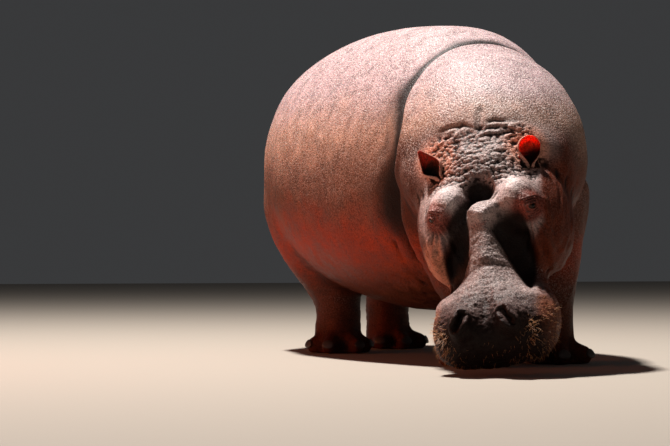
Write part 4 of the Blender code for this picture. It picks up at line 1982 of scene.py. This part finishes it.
@dataclass
class Toenail:
    """A short broad nail: a shield of horn, domed outward and blunt at its lower edge."""

    name: str
    half_width: float = 0.026
    half_height: float = 0.021
    dome: float = 0.006
    overhang: float = 0.004
    sunk: float = 0.003
    blunt: float = 0.86
    taper: float = 0.14

    def build(self, hide: BVHTree, finish: bpy.types.Material) -> bpy.types.Object:
        """Makes the nail and seats it on its toe.

        Args:
            hide: The skin, to seat on.
            finish: The horn.

        Returns:
            The finished piece.
        """
        seat, outward, _, _ = hide.find_nearest(middle_of(self.name))
        outward = Vector((outward.x, outward.y, outward.z * 0.5)).normalized()
        across = Vector((0, 0, 1)).cross(outward).normalized()
        upward = outward.cross(across)
        mesh = bmesh.new()
        bmesh.ops.create_uvsphere(mesh, u_segments=28, v_segments=16, radius=1.0)
        for vertex in mesh.verts:
            x, y, z = vertex.co
            square = 1 - self.taper + self.taper * max(abs(x), abs(z)) ** 0.35
            wide = x * self.half_width * (1 - self.taper * z) * square
            out = y * self.dome + self.overhang * (1 - z) - self.sunk
            high = z * self.half_height * (1.0 if z > 0 else self.blunt)
            vertex.co = across * wide + outward * out + upward * high + seat
        bmesh.ops.recalc_face_normals(mesh, faces=mesh.faces)
        thing = linked(f"horn_{self.name}", mesh)
        thing.data.materials.append(finish)
        thing.data.shade_smooth()
        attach(thing, BODY)
        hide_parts(self.name)
        LOG.info("%s: %d faces", thing.name, len(thing.data.polygons))
        return thing


@dataclass
class Tuft:
    """One growth of bristles: where they root, how many, and how long, thick and drooping."""

    weight: np.ndarray
    count: int
    length: float
    thick: float
    droop: float


@dataclass
class Bristles:
    """Sparse stiff bristles of the lips and the tail tip, each a thin tapered thorn."""

    head: Head
    skin: bpy.types.Object
    seed: int = 11
    joints: int = 5
    sides: int = 3
    root_depth: float = 0.004
    tip_share: float = 0.1
    uv_patch: float = 0.003
    uv_margin: float = 0.01
    body_middle: float = 0.75
    clumps: tuple[Triple, ...] = (
        (0.163, -0.765, -0.055),
        (0.185, -0.735, -0.085),
        (0.150, -0.80, -0.09),
    )
    clump_radii: Triple = (0.016, 0.016, 0.020)

    def __post_init__(self) -> None:
        """Readies the surface to grow from."""
        self.random = np.random.default_rng(self.seed)
        self.points = coordinates(self.skin.data)
        self.normals = normals_of(self.skin.data)
        self.face = self.head.local(self.points)

    def unwrap(self, at: np.ndarray) -> tuple[float, float]:
        """A root's place on the hide rolled out round the body's long axis.

        Args:
            at: The root.

        Returns:
            The middle of its patch of the UV map.
        """
        low, high = CAD_BOX
        span = 1 - 2 * self.uv_margin
        out = at[0] - (low[0] + high[0]) / 2
        angle = math.atan2(out, at[2] - self.body_middle) / (2 * math.pi)
        return 0.5 + span * angle, self.uv_margin + span * (at[1] - low[1]) / (high[1] - low[1])

    def thorn(
        self,
        mesh: bmesh.types.BMesh,
        root: np.ndarray,
        way: np.ndarray,
        bend: np.ndarray,
        length: float,
        thick: float,
    ) -> None:
        """Adds one bristle.

        Args:
            mesh: The bristles so far.
            root: Where it leaves the hide.
            way: Which way it starts.
            bend: Which way it curves.
            length: Its length.
            thick: Its width at the root.
        """
        way = Vector(way).normalized()
        bend = Vector(bend)
        spot = Vector(root) - way * self.root_depth
        ring = bmesh.ops.create_circle(mesh, segments=self.sides, radius=thick / 2)["verts"]
        turn = way.to_track_quat("Z", "Y").to_matrix().to_4x4()
        bmesh.ops.transform(mesh, matrix=Matrix.Translation(spot) @ turn, verts=ring)
        rims = mesh.edges[-self.sides :]
        made = []
        for joint in range(self.joints):
            grown = bmesh.ops.extrude_edge_only(mesh, edges=rims)["geom"]
            verts = [item for item in grown if isinstance(item, bmesh.types.BMVert)]
            rims = [item for item in grown if isinstance(item, bmesh.types.BMEdge)]
            rims = [edge for edge in rims if all(vertex in verts for vertex in edge.verts)]
            made += [item for item in grown if isinstance(item, bmesh.types.BMFace)]
            share = (joint + 1) / self.joints
            step = (way + bend * share).normalized() * (length / self.joints)
            bmesh.ops.translate(mesh, verts=verts, vec=step)
            middle = sum((vertex.co for vertex in verts), Vector()) / self.sides
            loss = 1 - self.tip_share
            taper = (1 - loss * share) / (1 - loss * (share - 1 / self.joints))
            for vertex in verts:
                vertex.co = middle + (vertex.co - middle) * taper
        self.map_faces(mesh, made, self.unwrap(root))

    def map_faces(
        self, mesh: bmesh.types.BMesh, faces: list[bmesh.types.BMFace], at: tuple[float, float]
    ) -> None:
        """Gives each face of a bristle its small patch of the UV map.

        Args:
            mesh: The bristles so far.
            faces: The new bristle's faces.
            at: The middle of the patch.
        """
        layer = mesh.loops.layers.uv["OFBake"]
        for face in faces:
            for number, loop in enumerate(face.loops):
                spin = number * math.pi / 2
                u = at[0] + self.uv_patch / 2 * math.cos(spin)
                v = at[1] + self.uv_patch / 2 * math.sin(spin)
                loop[layer].uv = (u, v)

    def grown(self, name: str, tufts: list[Tuft]) -> bpy.types.Object:
        """Grows bristles and makes one piece of them.

        Args:
            name: The piece's name.
            tufts: What grows where.

        Returns:
            The finished piece.
        """
        mesh = bmesh.new()
        mesh.loops.layers.uv.new("OFBake")
        for tuft in tufts:
            chance = tuft.weight / tuft.weight.sum()
            for index in self.random.choice(len(self.points), tuft.count, p=chance):
                way = self.normals[index] + self.random.normal(0, 0.28, 3)
                bend = self.random.normal(0, 0.35, 3) + np.array((0, 0, -tuft.droop))
                length = tuft.length * self.random.uniform(0.6, 1.25)
                self.thorn(mesh, self.points[index], way, bend, length, tuft.thick)
        bmesh.ops.recalc_face_normals(mesh, faces=mesh.faces)
        thing = linked(name, mesh)
        thing.data.shade_smooth()
        thing.data.materials.append(BristleFinish().material())
        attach(thing, BODY)
        LOG.info("%s: %d faces", name, len(thing.data.polygons))
        return thing

    def build(self) -> None:
        """Grows the bristles of the lips, in clumps and singly, and then the tail's."""
        x, y, z = self.face.T
        lips = within(y, -0.86, -0.66, 0.03) * within(z, -0.20, -0.045, 0.02)
        lips *= smooth(np.abs(x), 0.06, 0.14)
        clumps = np.zeros(len(x))
        for side, (out, along, up) in itertools.product(Side, self.clumps):
            clumps += Hill((side.value * out, along, up), self.clump_radii).at(self.face)
        front = within(y, -0.88, -0.80, 0.02) * within(z, -0.22, -0.08, 0.02)
        singles = Tuft(lips, 300, 0.022, 0.0013, 0.5)
        bunches = Tuft(clumps, 110, 0.038, 0.0016, 0.4)
        short = Tuft(front, 90, 0.020, 0.0012, 0.5)
        self.grown("lip_bristles", [singles, bunches, short])
        low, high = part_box("tail")
        tip = (self.points[:, 1] > high[1] - 0.10) & (self.points[:, 2] < low[2] + 0.12)
        tip &= np.abs(self.points[:, 0] - (low[0] + high[0]) / 2) < 0.08
        self.grown("tail_bristles", [Tuft(tip * 1.0, 60, 0.045, 0.0018, 0.9)])


# ------------------------------------------------------------------ the studio
@dataclass(frozen=True)
class Lamp:
    """One square lamp: where it hangs and aims, its side, its watts and its colour."""

    name: str
    place: Triple
    aim: Triple
    size: float
    power: float
    hue: str

    def build(self) -> None:
        """Hangs the lamp."""
        data = bpy.data.lights.new(self.name, "AREA")
        data.size = self.size
        data.energy = self.power
        data.color = linear(self.hue)[:3]
        thing = bpy.data.objects.new(self.name, data)
        bpy.context.scene.collection.objects.link(thing)
        thing.location = self.place
        way = Vector(self.aim) - Vector(self.place)
        thing.rotation_euler = way.to_track_quat("-Z", "Y").to_euler()


@dataclass
class Studio:
    """The camera, the plain matt floor, one small lamp high above and weak ones low down."""

    stand_off: float = 9.0
    heading: float = 25.0
    height: float = 0.41
    lens: float = 111.06
    turn_left: float = 2.55
    tilt_up: float = 1.08
    body_origin: tuple[float, float] = (0.0354, 0.2391)
    floor_half: float = 30.0
    floor_drop: float = 0.0005
    floor_hue: str = "#968e84"
    sky_hue: str = "#e9ebef"
    sky_strength: float = 0.05
    lamps: tuple[Lamp, ...] = (
        Lamp("overhead_key", (-1.85, 1.10, 9.5), (-0.05, -0.1, 0.6), 0.6, 2450, "#fff8f2"),
        Lamp("warm_bounce", (-4.3, 0.6, 0.35), (0.0, 0.3, 0.65), 2.2, 116, "#ff804a"),
        Lamp("front_fill", (-3.5, -6.5, 1.6), (-0.1, -0.6, 0.6), 3.0, 12, "#f3f1ff"),
    )

    def camera(self) -> None:
        """Places the camera low in front of the animal's right side."""
        heading = math.radians(self.heading)
        back = Vector((-math.sin(heading), -math.cos(heading), 0))
        data = bpy.data.cameras.new("camera")
        data.sensor_width = 36
        data.lens = self.lens
        thing = bpy.data.objects.new("camera", data)
        bpy.context.scene.collection.objects.link(thing)
        thing.location = back * self.stand_off + Vector((*self.body_origin, self.height))
        axis = Matrix.Rotation(math.radians(self.turn_left), 3, "Z") @ -back
        rise = math.radians(self.tilt_up)
        axis = axis * math.cos(rise) + Vector((0, 0, math.sin(rise)))
        thing.rotation_euler = axis.to_track_quat("-Z", "Y").to_euler()
        bpy.context.scene.camera = thing

    def floor(self) -> None:
        """Lays the matt pale floor just under the soles."""
        mesh = bmesh.new()
        bmesh.ops.create_grid(mesh, x_segments=1, y_segments=1, size=self.floor_half)
        bmesh.ops.translate(mesh, verts=mesh.verts, vec=(0, 0, -self.floor_drop))
        floor = linked("studio_floor", mesh)
        made, tree, shader = new_material("matt_pale_floor")
        dress(tree, shader, {"Base Color": linear(self.floor_hue), "Roughness": 0.9})
        floor.data.materials.append(made)

    def build(self) -> None:
        """Sets up the studio."""
        self.camera()
        self.floor()
        for lamp in self.lamps:
            lamp.build()
        world = bpy.data.worlds.new("studio")
        world.use_nodes = True
        sky = world.node_tree.nodes["Background"]
        dress(
            world.node_tree, sky, {"Color": linear(self.sky_hue), "Strength": self.sky_strength}
        )
        scene = bpy.context.scene
        scene.world = world
        scene.view_settings.view_transform = "Standard"


def main() -> None:
    """Builds the animal piece by piece, then the studio."""
    logging.basicConfig(level=logging.INFO, format="%(message)s")
    hide = Hide()
    head = hide.guide.head
    skin = hide.build()
    for side in Side:
        Eye(side, head).build()
    horn = HornFinish().material()
    seats = BVHTree.FromObject(skin, bpy.context.evaluated_depsgraph_get())
    for name in sorted(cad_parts):
        if "nail" in name:
            Toenail(name).build(seats, horn)
    Bristles(head, skin).build()
    Studio().build()


if __name__ == "__main__":
    main()
